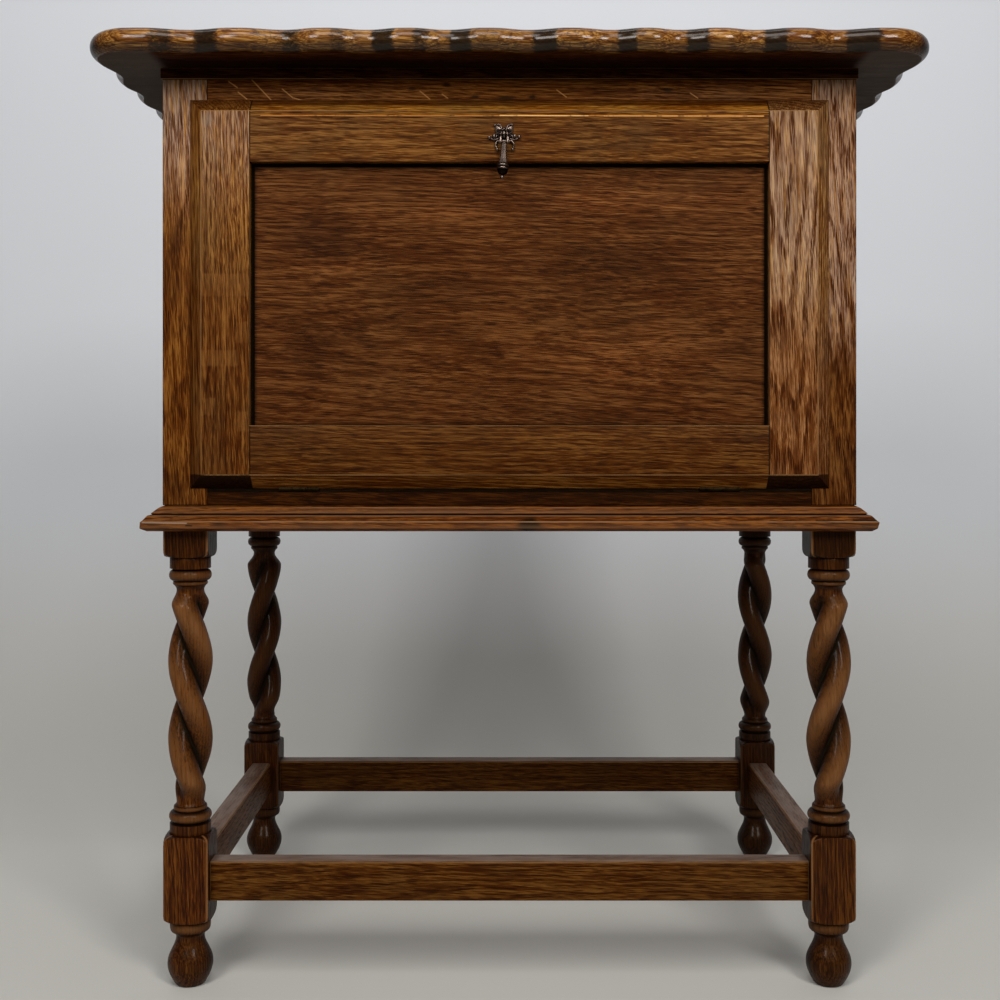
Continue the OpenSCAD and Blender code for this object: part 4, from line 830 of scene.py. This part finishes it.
def twist_rings(hand, waist, seed, steps=100):
    """The two strands, wound one way or the other, with a narrow point at the waist."""
    pitch = tau / SIDES
    rings = []
    for k in range(steps + 1):
        height = TWIST_LOW + (TWIST_HIGH - TWIST_LOW) * k / steps
        turn = radians(90) + hand * tau * (height - waist) / LEAD
        swell = ease_in(min((height - TWIST_LOW) / (22 * MM), (TWIST_HIGH - height) / (15 * MM)))
        if k in (0, steps):
            turn = round(turn / pitch) * pitch
        rings.append((height, turn, twisted(turn, swell, height, seed)))
    return rings


# %% Turn and cut the four legs
COLLAR, BEAD, FILLET = HALF - 2.0 * MM, HALF - 1.3 * MM, HALF - 5.6 * MM


def foot_rings():
    """From the sole up to the start of the twist."""
    rings = [(0.0, lathe(12.6 * MM)), (0.8 * MM, lathe(14.0 * MM))]
    rings += swept(1.5 * MM, 20 * MM, 14.6 * MM, 21.6 * MM, 12, lambda t: sin(pi / 2 * t))
    rings += swept(21 * MM, 46 * MM, 21.6 * MM, 13.4 * MM, 16,
                   lambda t: 1 - ((1 + cos(pi * t)) / 2) ** 0.9)
    rings += swept(46.8 * MM, 51.4 * MM, 13.5 * MM, 17.2 * MM, 6, flared)
    rings += bead_rings(51.6 * MM, FOOT_TOP, 17.6 * MM, 19.4 * MM)
    rings += block_rings(FOOT_TOP, BLOCK_TOP, 1)
    rings += creased(COLLAR - 0.4 * MM, BLOCK_TOP)
    rings += swept(BLOCK_TOP + 0.6 * MM, BLOCK_TOP + 9.6 * MM, COLLAR, COLLAR, 3, ease_in)
    rings += creased(FILLET, BLOCK_TOP + 10.2 * MM, BLOCK_TOP + 11.0 * MM)
    rings += bead_rings(BLOCK_TOP + 11.2 * MM, BLOCK_TOP + 21.5 * MM, FILLET, BEAD)
    rings += bead_rings(BLOCK_TOP + 22 * MM, BLOCK_TOP + 26.5 * MM, FILLET - 1 * MM, FILLET, 6)
    return rings + swept(BLOCK_TOP + 27 * MM, TWIST_LOW - 0.5 * MM, FILLET - 1.6 * MM, 13.2 * MM,
                         4, ease_in)


def head_rings():
    """From the end of the twist up to the tenon in the base board."""
    rings = swept(TWIST_HIGH + 0.5 * MM, TWIST_HIGH + 5 * MM, NECK, FILLET - 0.8 * MM, 6, flared)
    rings += bead_rings(TWIST_HIGH + 5.2 * MM, TWIST_HIGH + 9.2 * MM, FILLET - 0.4 * MM,
                        FILLET + 0.6 * MM, 6)
    rings += bead_rings(TWIST_HIGH + 9.4 * MM, TWIST_HIGH + 20.2 * MM, FILLET, BEAD)
    rings += creased(FILLET, TWIST_HIGH + 20.4 * MM, TWIST_HIGH + 21.2 * MM)
    rings += swept(TWIST_HIGH + 21.4 * MM, TURN_TOP - 0.6 * MM, COLLAR, COLLAR, 3, ease_in)
    rings += creased(COLLAR - 0.4 * MM, TURN_TOP)
    rings += block_rings(TURN_TOP, STAND, 0)
    return rings + [(STAND, lathe(10 * MM)), (TENON_TOP, lathe(10 * MM))]


def leg_rings(hand, waist, seed):
    twist = twist_rings(hand, waist, seed)
    return ([(height, twist[0][1], rule) for height, rule in foot_rings()] + twist
            + [(height, twist[-1][1], rule) for height, rule in head_rings()])


def shaded_flanks(t, board, colour):
    """The sides of the square blocks, painted darker: painted shade."""
    height = t.along("Z")
    square = t.maths("MAXIMUM", t.rise(height, BLOCK_TOP, BLOCK_TOP - 1 * MM),
                     t.rise(height, TURN_TOP, TURN_TOP + 1 * MM))
    sideways = t.maths("ABSOLUTE", t.along("X", "Normal"))
    return t.tint(colour, (0.36, 0.30, 0.28), t.times(t.rise(sideways, 0.75, 0.95), square))


# Painted light and shade on the legs by height: the head and upper block darker under the base
# board, the turnings below the twist darker, the lower block lighter, the foot darker, and the
# blocks' sides darker.
LEG_LIGHT = both(shaded_flanks, *(tinted_from(*band) for band in (
    (378, 4, (0.62, 0.58, 0.62)), (408, 6, (0.68, 0.65, 0.62)), (176, -6, (0.72, 0.72, 0.72)),
    (148, -3, (1.38, 1.38, 1.38)), (66, -4, (0.72, 0.78, 0.9)))))
# Painted shade: the right legs' stain is lowered by this factor, where the right lamp lights them
# more, and the back legs get a darker stain and worn colour for the shadow under the cabinet.
RIGHT_SHADE = 0.64
FRONT_LEG, BACK_LEG = ((0.44, 0.28, 0.11), "#8c5e36"), ((0.20, 0.115, 0.05), "#4a2d17")

for name, hand, waist, seed, (stain, worn) in (
        ("leg_front_left", -1, 279.6, 1.0, FRONT_LEG),
        ("leg_front_right", 1, 277.5, 2.0, FRONT_LEG),
        ("leg_back_left", 1, 251.0, 3.0, BACK_LEG), ("leg_back_right", -1, 284.5, 4.0, BACK_LEG)):
    x, y = middle_of(name)[:2]
    bm = bmesh.new()
    raise_loops(bm, [skin_loop(*ring) for ring in leg_rings(hand, waist * MM, seed)])
    bmesh.ops.translate(bm, verts=bm.verts, vec=(x, y, 0))
    stain = tuple(c * (RIGHT_SHADE if "right" in name else 1.0) for c in stain)
    material = oak("oak_" + name, (x, y, 0), "Z", stain=stain, heart=(0.035, 0.05), seed=60 + seed,
                   pores=0.95, gloss=0.42, shine=0.14, coat=0.06, worn=worn, extra=LEG_LIGHT)
    make_piece(bm, "turned_" + name, material, name, smooth_below=40)

# %% [markdown]
# ## Moulded base board
# The carcass stands on a board whose edge is moulded with planes: a slope, a quirk, a second slope
# and an upright face. The profile goes round the front and both ends, so the board can be raised
# from loops, one for each line of the profile. The lines that stand proud are rubbed pale, the
# quirk is darker, the line under the carcass has painted shadow, and the right end has been knocked
# ragged.

# %% Base board
BOARD_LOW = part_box("base_board")[0][2]
BOARD_X, BOARD_FRONT, BOARD_BACK = 330 * MM, -192 * MM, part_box("base_board")[1][1]
WORN_FROM, WORN_RUN = 0.31, 0.04
# Each line: how far out and up (mm), wear and darkening. The quirk is darker, and the last line,
# under the carcass, has painted shadow.
PROFILE = [(11.8, 0.0, 0.0, 0.0), (16.8, 2.6, 0.0, 0.0), (17.3, 3.2, 0.3, 0.0),
           (17.3, 8.4, 0.0, 0.0), (17.2, 8.9, 0.8, 0.0), (16.7, 9.4, 0.9, 0.0),
           (15.9, 10.0, 0.0, 0.0), (12.6, 13.5, 0.0, 0.0), (11.6, 14.7, 0.5, 0.0),
           (11.0, 15.0, 0.0, 0.3), (8.3, 15.3, 0.0, 1.0), (8.1, 16.1, 0.0, 1.0),
           (9.0, 16.5, 0.0, 0.2), (8.2, 17.2, 0.4, 0.0), (3.8, 21.0, 0.0, 0.0),
           (3.0, 21.7, 1.0, 0.0), (2.3, 22.1, 0.0, 0.0), (-2.0, 24.0, 0.0, 0.6)]


def board_loop(out, height, worn, dirty):
    """A line of the profile, so far out from the carcass and up from the board's foot (mm)."""
    x, front = BOARD_X + out * MM, BOARD_FRONT - out * MM
    edge = PROFILE[0][1] < height < PROFILE[-1][1] - 1
    corners = [(-x, front), (x, front), (x, BOARD_BACK), (-x, BOARD_BACK)]
    loop = []
    for start, end, steps in zip(corners, corners[1:] + corners[:1], (110, 40, 4, 40)):
        for k in range(steps):
            px, py = (start[i] + (end[i] - start[i]) * k / steps for i in range(2))
            rough = 0.5 + (3.2 if px > 0 else 1.2) * ease_in((abs(px) - WORN_FROM) / WORN_RUN)
            bumps = noise.noise(Vector((px * 55, py * 55, height * 0.25)))
            dent = rough * MM * max(0.0, bumps - 0.1) * edge
            px, py = copysign(min(abs(px), x - dent), px), max(py, front + dent)
            loop.append(((px, py, BOARD_LOW + height * MM), worn, dirty))
    return loop


def old_damage(t, board, colour):
    """A long crack and chips at the right end, a short crack at the left, and a knot."""
    for start, end, width, code, much in (
            ((-346, 447), (-302, 446.4), 1.0, "#a08c7c", 0.5),
            ((-305, 444.4), (-297, 444), 1.2, "#050201", 1),
            ((287, 449), (303, 447.4), 0.7, "#0a0402", 0.9),
            ((294, 448.4), (306, 447), 1.5, "#050201", 1),
            ((303, 447), (345, 444.6), 0.8, "#0a0402", 0.9),
            ((318, 452), (347, 450), 0.8, "#0c0502", 0.8),
            ((322, 449.5), (347, 448), 1.2, "#080301", 0.9),
            ((330, 443), (347, 441), 1.4, "#050201", 0.9)):
        colour = t.paint(colour, code, t.times(stroke(t, start, end, width), much))
    colour = t.paint(colour, "#160902", blot(t, (18.5, 445.2), 17, 10.0, 0.3))
    return t.paint(colour, "#020100", blot(t, (18.5, 444.8), 13, 8.0, 0.25))


bm = bmesh.new()
raise_loops(bm, [board_loop(*line) for line in PROFILE])
material = oak("oak_base_board", middle_of("base_board"), "X", heart=(0.02, 0.08), seed=47.0,
               stain=(0.64, 0.44, 0.24), worn="#8d6a4c", extra=old_damage)
make_piece(bm, "moulded_base_board", material, "base_board", smooth_below=25)

# %% [markdown]
# ## Scalloped top
# The top's edge is cut into shallow lobes and rounded over. A rectangle gets round corners, its
# sides are subdivided and pushed in at the valleys, and the rounded edge is then built up by
# insetting the face in small rising steps. The mark `soot` says where the black polish of the
# valleys lies: the front's patches are placed one by one, the sides' follow the depth of the cut.

# %% Outline of the top
TOP_X, TOP_Y = 392 * MM, 254 * MM
TOP_LOW, TOP_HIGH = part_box("top_board")[0][2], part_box("top_board")[1][2] - 0.12 * MM
TOP_MIDDLE, HALF_TOP = (TOP_LOW + TOP_HIGH) / 2, (TOP_HIGH - TOP_LOW) / 2
CUT, POINT_PITCH = 6.8 * MM, 3.2 * MM
FRONT_BELOW, CORNER_FROM, CORNER_RUN = -0.2, 0.366, 0.02
FRONT_VALLEYS = [x * MM for x in (-293, -207, -131, -57, 18, 94, 157, 226, 300)]
SIDE_VALLEYS = [y * MM for y in (-159, -84, -9, 66, 141, 216)]
DARK_SPOTS = ((-318, 9, 0.60), (-277, 9, 0.85), (-200, 7, 0.60), (-156, 6, 0.50), (-116, 8, 0.90),
              (-80, 7, 0.55), (-45, 8, 0.90), (32, 9, 0.95), (107, 7, 0.90), (171, 8, 0.95),
              (242, 8, 1.0), (322, 12, 1.0))


def valley(u):
    return CUT * ((1 + cos(tau * u)) / 2) ** 1.4


def scallop(along, valleys, run_before, run_after):
    """How far the edge is cut in at a place along it, and nothing beyond the corner lobes."""
    for start, end in zip(valleys, valleys[1:]):
        if start <= along <= end:
            return valley((along - start) / (end - start))
    t = ((valleys[0] - along) / run_before if along < valleys[0]
         else (along - valleys[-1]) / run_after)
    return valley(t / 2) if t < 1 else 0.0


bm = bmesh.new()
wear, grime, soot = (bm.verts.layers.float.new(mark) for mark in ("wear", "grime", "soot"))
corners = [bm.verts.new((x, y, TOP_MIDDLE))
           for x, y in ((-TOP_X, -TOP_Y), (TOP_X, -TOP_Y), (TOP_X, TOP_Y), (-TOP_X, TOP_Y))]
bmesh.ops.contextual_create(bm, geom=corners)
for verts, radius, steps in ((corners[:2], 45 * MM, 14), (corners[2:], 16 * MM, 8)):
    bmesh.ops.bevel(bm, geom=verts, offset=radius, offset_type="OFFSET", affect="VERTICES",
                    segments=steps, profile=0.5, material=-1)
for edge in [e for e in bm.edges if e.calc_length() > 0.3 and e.verts[0].co.y < TOP_Y - 1e-4]:
    bmesh.ops.subdivide_edges(bm, edges=[edge], cuts=int(edge.calc_length() / POINT_PITCH))
for vert in bm.verts:
    x, y = vert.co.x, vert.co.y
    depth = 0.0
    if y < -TOP_Y + 1e-5:
        depth = scallop(x, FRONT_VALLEYS, 45 * MM, 45 * MM)
        vert.co.y += depth
    elif abs(x) > TOP_X - 1e-5:
        depth = scallop(y, SIDE_VALLEYS, 50 * MM, 22 * MM)
        vert.co.x -= copysign(depth, x)
    if y < FRONT_BELOW:
        spots = [much * ease_in(1.7 - abs(x / MM - middle) / reach)
                 for middle, reach, much in DARK_SPOTS]
        vert[soot] = max(spots + [0.5 * ease_in((abs(x) - CORNER_FROM) / CORNER_RUN)])
    else:
        vert[soot] = 0.55 * (depth / CUT) ** 2 + 0.15
print("outline of", len(bm.verts), "points")

# %% Rounded edge of the top
NOSE_IN, NOSE_STEPS = 10.5 * MM, 9
BAND = 0.2 * MM
made = bmesh.ops.extrude_face_region(bm, geom=bm.faces[:])["geom"]
upper = [g for g in made if isinstance(g, bmesh.types.BMVert)]
bmesh.ops.translate(bm, verts=upper, vec=(0, 0, BAND))
bmesh.ops.recalc_face_normals(bm, faces=bm.faces)
for up in (1, -1):
    face = max(bm.faces, key=lambda f: f.calc_area() * (f.normal.z * up > 0.9))
    before = (0.0, 0.0)
    for k in range(1, NOSE_STEPS + 1):
        a = pi / 2 * k / NOSE_STEPS
        now = (NOSE_IN * (1 - cos(a)), (HALF_TOP - BAND / 2) * sin(a))
        bmesh.ops.inset_region(bm, faces=[face], use_boundary=True, use_even_offset=True,
                               thickness=now[0] - before[0], depth=now[1] - before[1])
        before = now
for vert in bm.verts:
    # The lower half of the rounded edge is darkened towards the bottom: painted shade.
    down = (TOP_MIDDLE - vert.co.z) / HALF_TOP
    vert[grime] = 0.6 * ease_in((down + 0.1) / 0.6)
    if down < -0.9:
        vert[soot] = 0.05


# %% Finish of the top
SHADOW_FROM, LIT_DUST_FROM = (-0.243, -0.212), (0.322, 0.334)


def crazed(t, board, colour):
    """Old varnish that has cracked into cells, and black polish that the grain has torn."""
    bent = t.pushed(board, t.noise(board, (70, 70, 70), 4.0, 0.6), 14 * MM)
    cells = t.add("TexVoronoi", {"Vector": t.vector("MULTIPLY", bent, (70, 200, 200)),
                                 "Scale": 1.0}, feature="DISTANCE_TO_EDGE").outputs["Distance"]
    crack = t.times(t.rise(cells, 0.09, 0.02), t.rise(t.cloud(board, (25, 60, 60)), 0.42, 0.60))
    colour = t.paint(colour, PORE_BLACK, t.times(crack, 0.6))
    torn = t.cloud(bent, (90, 330, 330), 4.0, 0.7)
    black = t.rise(t.plus((t.mark("soot"), 0.9), (torn, 1.5)), 0.88, 1.40)
    return t.paint(colour, "#080402", t.times(black, 0.93))


def underside_shade_and_light(t, board, colour):
    """Under the top: painted shadow, near black, next to the carcass, and grey out at both ends,
    partly dust and partly painted light.
    """
    colour = t.tint(colour, (0.20, 0.16, 0.17), t.rise(t.along("Y"), *SHADOW_FROM))
    outward = t.rise(t.maths("ABSOLUTE", t.along("X")), *LIT_DUST_FROM)
    lit_dust = t.layer(t.cloud(board, (5, 160, 160), 3.0, 0.6), shade("#7d6f65"), shade("#62544c"))
    return t.layer(t.times(outward, 0.85), colour, lit_dust)


top_material = oak("oak_top_board", (0, 0, 0.89), "X", stain=(1.22, 1.22, 0.88), wave=18.0,
                   heart=(0.06, 0.08), seed=71.0, gloss=0.28, shine=0.12, coat=0.42, extra=crazed)
# The underside's stain is raised as painted light, for what reaches it from below.
raw_material = oak("oak_top_underside", (0, 0, 0.87), "X", stain=(0.60, 0.38, 0.24), seed=72.0,
                   gloss=0.6, shine=0.05, extra=underside_shade_and_light)
piece = make_piece(bm, "scalloped_top_board", top_material, "top_board", smooth_below=50)
piece.data.materials.append(raw_material)
for face in piece.data.polygons:
    if face.normal.z < -0.95:
        face.material_index = 1
print("top board box:", [round(v, 4) for v in piece.dimensions])

# %% [markdown]
# ## Metals
# The hinges, stays and catch are sheet brass that has dulled. The drop pull is cast brass with a
# dark bronze dip, rubbed bright where fingers reach it.

# %% Metal recipes
def metal(name, bright, dull, rough, spots=240.0):
    t = Circuit(name)
    blotch = t.cloud(t.place(), (spots,) * 3, 4.0, 0.6)
    brush = t.cloud(t.place(), (spots * 2, spots * 2, spots * 12), 2.0)
    tarnish = t.rise(t.maths("ADD", blotch, t.mark("grime")), 0.4, 0.75)
    colour = t.layer(tarnish, shade(bright), shade(dull))
    bump = t.add("Bump", {"Height": t.maths("ADD", brush, blotch), "Strength": 0.2,
                          "Distance": 0.1 * MM})
    t.wire(t.shader, {"Base Color": t.paint(colour, bright, t.times(t.mark("wear"), 0.8)),
                      "Roughness": t.maths("ADD", t.times(blotch, 0.2), rough - 0.1),
                      "Metallic": 1.0, "Normal": bump.outputs[0]})
    return t.material


# %% Sheet metal
finishes = {
    "brass": metal("old_brass", "#7d6233", "#2c2010", 0.42),
    "bronze": metal("dipped_brass", "#75645a", "#150e0a", 0.27, 420.0),
    "steel": metal("plain_steel", "#a3a3a0", "#5c5954", 0.36),
}
# The hinges are nearly black, partly oxide and partly painted shade of the gap they sit in.
oxide_and_shade_hinge = metal("waxed_hinge_brass", "#2b2010", "#0e0905", 0.5)
for name, node in nodes.items():
    if slot_of[name] in finishes:
        finish = oxide_and_shade_hinge if name.startswith("hinge") else finishes[slot_of[name]]
        for slot in node.material_slots:
            slot.material = finish
        if not node.material_slots:
            node.data.materials.append(finish)
print("metal nodes:", sum(slot_of[name] in finishes for name in nodes))

# %% [markdown]
# The spring under the catch's ball shortens when the ball is pressed. Its lower end stays in the
# case and its upper end goes down with the ball. Here the copy is only baked in place and does not
# bend.

# %% Catch spring
make_piece(merged_copy("catch_spring"), "pressed_catch_spring", finishes["steel"], "catch_spring",
           bends_to="catch_ball")

# %% [markdown]
# ## Drop pull
# The pull is cast in two parts that a pin joins. The fixed part is a cluster of leaves and scrolls
# round a fluted boss, on a rod that goes through the rail to a nut. The drop is an eight-sided
# stem that flares to two beads, a cup and a ball. Scrolls are circles swept along a curve, and
# leaves are rings that rise to a rim and sink again, as a modeller would press them in wax. All
# places are millimetres from the pin: to the right, up, and out from the rail.

# %% Casting helpers
PIN = Vector(middle_of("pull_pin"))
RAIL_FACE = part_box("pull_plate")[1][1]
LEAF_RINGS = ((0.9, 0.0, 0.0, 0.6), (1.0, 0.5, 0.0, 0.3), (1.0, 1.5, 0.2, 0.0),
              (0.92, 2.1, 0.5, 0.0), (0.80, 2.1, 0.4, 0.0), (0.70, 1.3, 0.2, 0.6),
              (0.40, 1.5, 0.3, 0.2), (0.16, 2.0, 0.6, 0.0))


def spot(right, up, out):
    return Vector((PIN.x + right * MM, RAIL_FACE - out * MM, PIN.z + up * MM))


def tube(bm, path, radii, sides=8):
    """Sweeps a circle along a path that lies flat on the rail."""
    back = Vector((0, 1, 0))
    loops = []
    for k, point in enumerate(path):
        ahead = path[min(k + 1, len(path) - 1)] - path[max(k - 1, 0)]
        across = ahead.normalized().cross(back)
        loops.append(around(sides, lambda a: (
            point + (across * cos(a) + back * sin(a)) * radii[k] * MM,
            0.8 * max(0.0, -sin(a)), 0.0)))
    raise_loops(bm, loops)


def ball(bm, place, radius, worn=0.7):
    wear = bm.verts.layers.float.get("wear")
    made = bmesh.ops.create_icosphere(bm, subdivisions=2, radius=radius * MM,
                                      matrix=Matrix.Translation(place))["verts"]
    for vert in made:
        vert[wear] = worn * max(0.0, (place.y - vert.co.y) / (radius * MM))


def leaf(bm, right, up, long, wide, turn):
    """A rimmed leaf that points along `turn` degrees, with a sunk web and a raised vein."""
    to_right, to_up = cos(radians(turn)), sin(radians(turn))

    def rim(a, size, out, worn, dirty):
        u, v = size * long * cos(a), size * wide * sin(a) * (1 - 0.4 * cos(a))
        return (spot(right + u * to_right - v * to_up, up + u * to_up + v * to_right, out), worn,
                dirty)
    raise_loops(bm, [around(20, lambda a: rim(a, *ring)) for ring in LEAF_RINGS])


def curl(points, out):
    """Ten places on a curve between the outer two points, drawn towards the inner two."""
    return geometry.interpolate_bezier(*(spot(*point, out) for point in points), 10)


# %% Leaves, scrolls and boss
BOSS_UP = 6.6
PETALS, SCROLL = 5, [1.0, 1.0, 1.0, 0.95, 0.9, 0.85, 0.8, 0.75, 0.7, 0.7]


def petal(a, size, out, dirty):
    reach = size * (7.0 + 0.7 * cos(PETALS * a + 0.4))
    return spot(reach * cos(a), BOSS_UP + reach * sin(a) * 0.85, out), 0.0, dirty


bm = bmesh.new()
raise_loops(bm, [around(40, lambda a: petal(a, *ring)) for ring in (
    (0.96, 0.0, 0.5), (1.0, 0.4, 0.5), (1.0, 1.0, 0.5), (0.9, 1.4, 0.8))])
for right, up, long, wide, turn in ((-5.0, 13.1, 5.0, 4.1, 122), (4.8, 13.3, 5.0, 4.1, 60),
                                    (-8.2, 5.8, 3.8, 2.6, 188), (8.5, 5.6, 3.8, 2.6, -2)):
    leaf(bm, right, up, long, wide, turn)
for right, up, out, radius in (
        (-8.6, 16.4, 1.8, 1.25), (7.2, 16.9, 1.8, 1.25), (-13.9, 4.8, 1.9, 1.75),
        (14.1, 5.6, 1.9, 1.8), (-6.7, -6.5, 2.0, 1.5), (8.0, -6.5, 2.0, 1.5),
        (-9.4, 6.0, 2.9, 2.0), (9.7, 5.9, 2.9, 2.0), (-0.1, 12.6, 2.4, 1.1)):
    ball(bm, spot(right, up, out), radius)
tube(bm, curl(((-4.4, 1.6), (-7.6, 2.4), (-9.4, -2.4), (-6.7, -6.3)), 2.0), SCROLL)
tube(bm, curl(((4.4, 1.6), (8.6, 2.4), (10.6, -2.6), (8.0, -6.3)), 2.0), SCROLL)
for side in (-1, 1):
    for bends, out, radius in ((((5.5, 3.6), (9, 1.6), (12.5, 3.4), (13.4, 5.0)), 1.7, 0.8),
                               (((1.2, 10.8), (3.4, 13.5), (2.2, 16.6), (6.4, 17.0)), 1.9, 0.75)):
        tube(bm, curl([(side * x, z) for x, z in bends], out), [radius] * 10)
    eye = side * 3.3
    tube(bm, [spot(eye, 4.4, 5.6), spot(eye, 2.0, 6.0), spot(eye, 0, 6.0)], [1.5, 1.45, 1.5], 12)
    ball(bm, spot(eye, 0, 6.0), 1.62)
print("casting so far:", len(bm.faces), "faces")

# %% Fluted boss on its rod
BOSS_RINGS = 15


def flute(around_boss, a):
    """A point of the boss: an angle about it, and one from its foot to its crown."""
    lobe = abs(cos(PETALS * (around_boss + pi / 2)))
    reach = (0.84 + 0.16 * lobe ** 0.6) * cos(a)
    return (spot(5.8 * reach * cos(around_boss), BOSS_UP + 0.4 + 4.5 * sin(a),
                 4.0 - 4.4 * reach * sin(around_boss)),
            0.9 * lobe ** 4 * cos(a - 0.4) ** 2, 1 - lobe)


raise_loops(bm, [around(60, lambda b: flute(b, pi * (k + 0.5) / BOSS_RINGS - pi / 2))
                 for k in range(BOSS_RINGS)])
rod = [(1.2, 0.0), (1.8, 1.0)] + [(1.8, 8.0 + 9.4 * k) for k in range(3)] + [(1.2, 27.3)]
raise_loops(bm, [around(16, lambda a: (Vector((
    PIN.x + r * MM * cos(a), RAIL_FACE + deep * MM,
    PIN.z + 5 * MM + r * MM * sin(a))), 0.0, 0.3)) for r, deep in rod])
make_piece(bm, "cast_rosette_and_boss", finishes["bronze"], "pull_post", "pull_plate",
           smooth_below=50)


# %% Swinging drop
def turned_about(sides, profile):
    """Loops about the pin's upright axis, each of radius, height (mm), wear and darkening."""
    return [around(sides, lambda a: (PIN + Vector((r * cos(a), r * sin(a), up)) * MM,
                                     worn, dirty)) for r, up, worn, dirty in profile]


bm = bmesh.new()
stem = [(2.5, -1.9, 0.0, 0.0)]
for k in range(9):
    t = k / 8
    stem.append((2.65 + 0.5 * t + 1.5 * t ** 4, -2.2 - 17.8 * t, 0.15 + 0.3 * t, 0.0))
raise_loops(bm, turned_about(8, stem + [(4.4, -20.6, 0.0, 0.6)]))
beads = [(4.5, -20.2, 0.0, 0.8)]
for low, high, outer in ((-23.4, -20.9, 5.9), (-26.0, -23.9, 5.7)):
    for k in range(7):
        a = pi * k / 6
        beads.append((5.0 + (outer - 5.0) * sin(a),
                      high + (low - high) * (1 - cos(a)) / 2,
                      sin(a) ** 3, 0.9 * (1 - sin(a))))
for k in range(8):
    a = pi / 2 * k / 7
    beads.append((1.3 + 4.0 * cos(a), -26.2 - 5.2 * sin(a), 0.0, 0.4 + 0.4 * sin(a)))
raise_loops(bm, turned_about(28, beads + [(1.2, -32.0, 0.0, 0.6)]))
ball(bm, PIN + Vector((0, 0, -33.3)) * MM, 2.1, 0.5)
raise_loops(bm, [around(20, lambda a: (PIN + Vector((
    x, 1.95 * cos(a) * k, 1.95 * sin(a) * k)) * MM, 0.7, 0.0))
                 for x, k in ((-1.65, 0.85), (-1.4, 1), (1.4, 1), (1.65, 0.85))])
raise_loops(bm, turned_about(12, [(1.5, -0.6, 0, 0), (1.55, -2.4, 0, 0)]))
bmesh.ops.rotate(bm, verts=bm.verts, cent=PIN, matrix=Matrix.Rotation(radians(3.2), 3, "Y"))
make_piece(bm, "flared_drop", finishes["bronze"], "pull_drop", smooth_below=30)

# %% [markdown]
# ## Studio
# A pale sweep of floor and wall, a large soft light above the front, and two weak side lights. The
# paper is only there from its front, so that a camera behind it still sees the cabinet's back.

# %% Floor and wall
BEND_FROM, BEND, BEND_STEPS = 0.50, 0.50, 12
PAPER_FRONT, PAPER_TOP, PAPER_SIDE = -3.0, 3.2, 4.0
profile = [(PAPER_FRONT, 0.0), (BEND_FROM, 0.0)]
for k in range(1, BEND_STEPS + 1):
    a = pi / 2 * k / BEND_STEPS
    profile.append((BEND_FROM + BEND * sin(a), BEND * (1 - cos(a))))
profile.append((BEND_FROM + BEND, PAPER_TOP))

bm = bmesh.new()
ends = [bm.verts.new((x, *profile[0])) for x in (-PAPER_SIDE, PAPER_SIDE)]
edges = [bm.edges.new(ends)]
for y, z in profile[1:]:
    made = bmesh.ops.extrude_edge_only(bm, edges=edges)["geom"]
    edges = [g for g in made if isinstance(g, bmesh.types.BMEdge)
             and abs(g.verts[0].co.x - g.verts[1].co.x) > 1]
    for vert in (g for g in made if isinstance(g, bmesh.types.BMVert)):
        vert.co.y, vert.co.z = y, z
for face in bm.faces:
    face.smooth = True
bm.normal_update()
bmesh.ops.reverse_faces(bm, faces=[f for f in bm.faces if f.normal.z < -0.01 or f.normal.y > 0.01])
mesh = bpy.data.meshes.new("studio_sweep")
bm.to_mesh(mesh)
bm.free()

t = Circuit("paper")
# The paper is painted darker and warmer on the floor and lighter and bluer up the wall: painted
# light.
colour = t.layer(t.rise(t.along("Z"), 0.0, 0.5), shade("#c3c0b8"), shade("#dadce0"))
colour = t.paint(colour, "#b9b9b6", t.times(t.cloud(t.place(), (2, 2, 2)), 0.1))
t.wire(t.shader, {"Base Color": colour, "Roughness": 0.8})
one_sided = t.add("MixShader", {0: t.add("NewGeometry", {}).outputs["Backfacing"],
                                1: t.shader.outputs[0],
                                2: t.add("BsdfTransparent", {}).outputs[0]})
t.wire(t.tree.nodes["Material Output"], {"Surface": one_sided.outputs[0]})
mesh.materials.append(t.material)
sweep = bpy.data.objects.new("studio_sweep", mesh)
bpy.context.scene.collection.objects.link(sweep)
print("sweep faces:", len(mesh.polygons))


# %% Lights
def softbox(name, place, aim, width, height, power):
    data = bpy.data.lights.new(name, "AREA")
    data.shape = "RECTANGLE"
    data.size, data.size_y, data.energy = width, height, power
    light = bpy.data.objects.new(name, data)
    light.location = place
    light.rotation_euler = (Vector(aim) - Vector(place)).to_track_quat("-Z", "Y").to_euler()
    bpy.context.scene.collection.objects.link(light)
    print(name, "at", place, "with", power, "watts")


softbox("overhead", (-0.1, -1.7, 2.6), (0, 0.2, 0.45), 1.4, 1.0, 26)
softbox("left_window", (-0.95, -2.1, 1.75), (0, 0, 0.5), 0.6, 0.8, 22)
softbox("right_window", (1.05, -2.1, 1.75), (0, 0, 0.5), 0.6, 0.8, 28)
softbox("backdrop_light", (0, 0.0, 2.4), (0, 1.0, 1.1), 2.0, 0.4, 9)
world = bpy.data.worlds.new("studio")
bpy.context.scene.world = world
world.use_nodes = True
sky = world.node_tree.nodes["Background"].inputs
sky["Color"].default_value, sky["Strength"].default_value = shade("#e4e8ee"), 0.10
bpy.context.scene.view_settings.view_transform = "Standard"
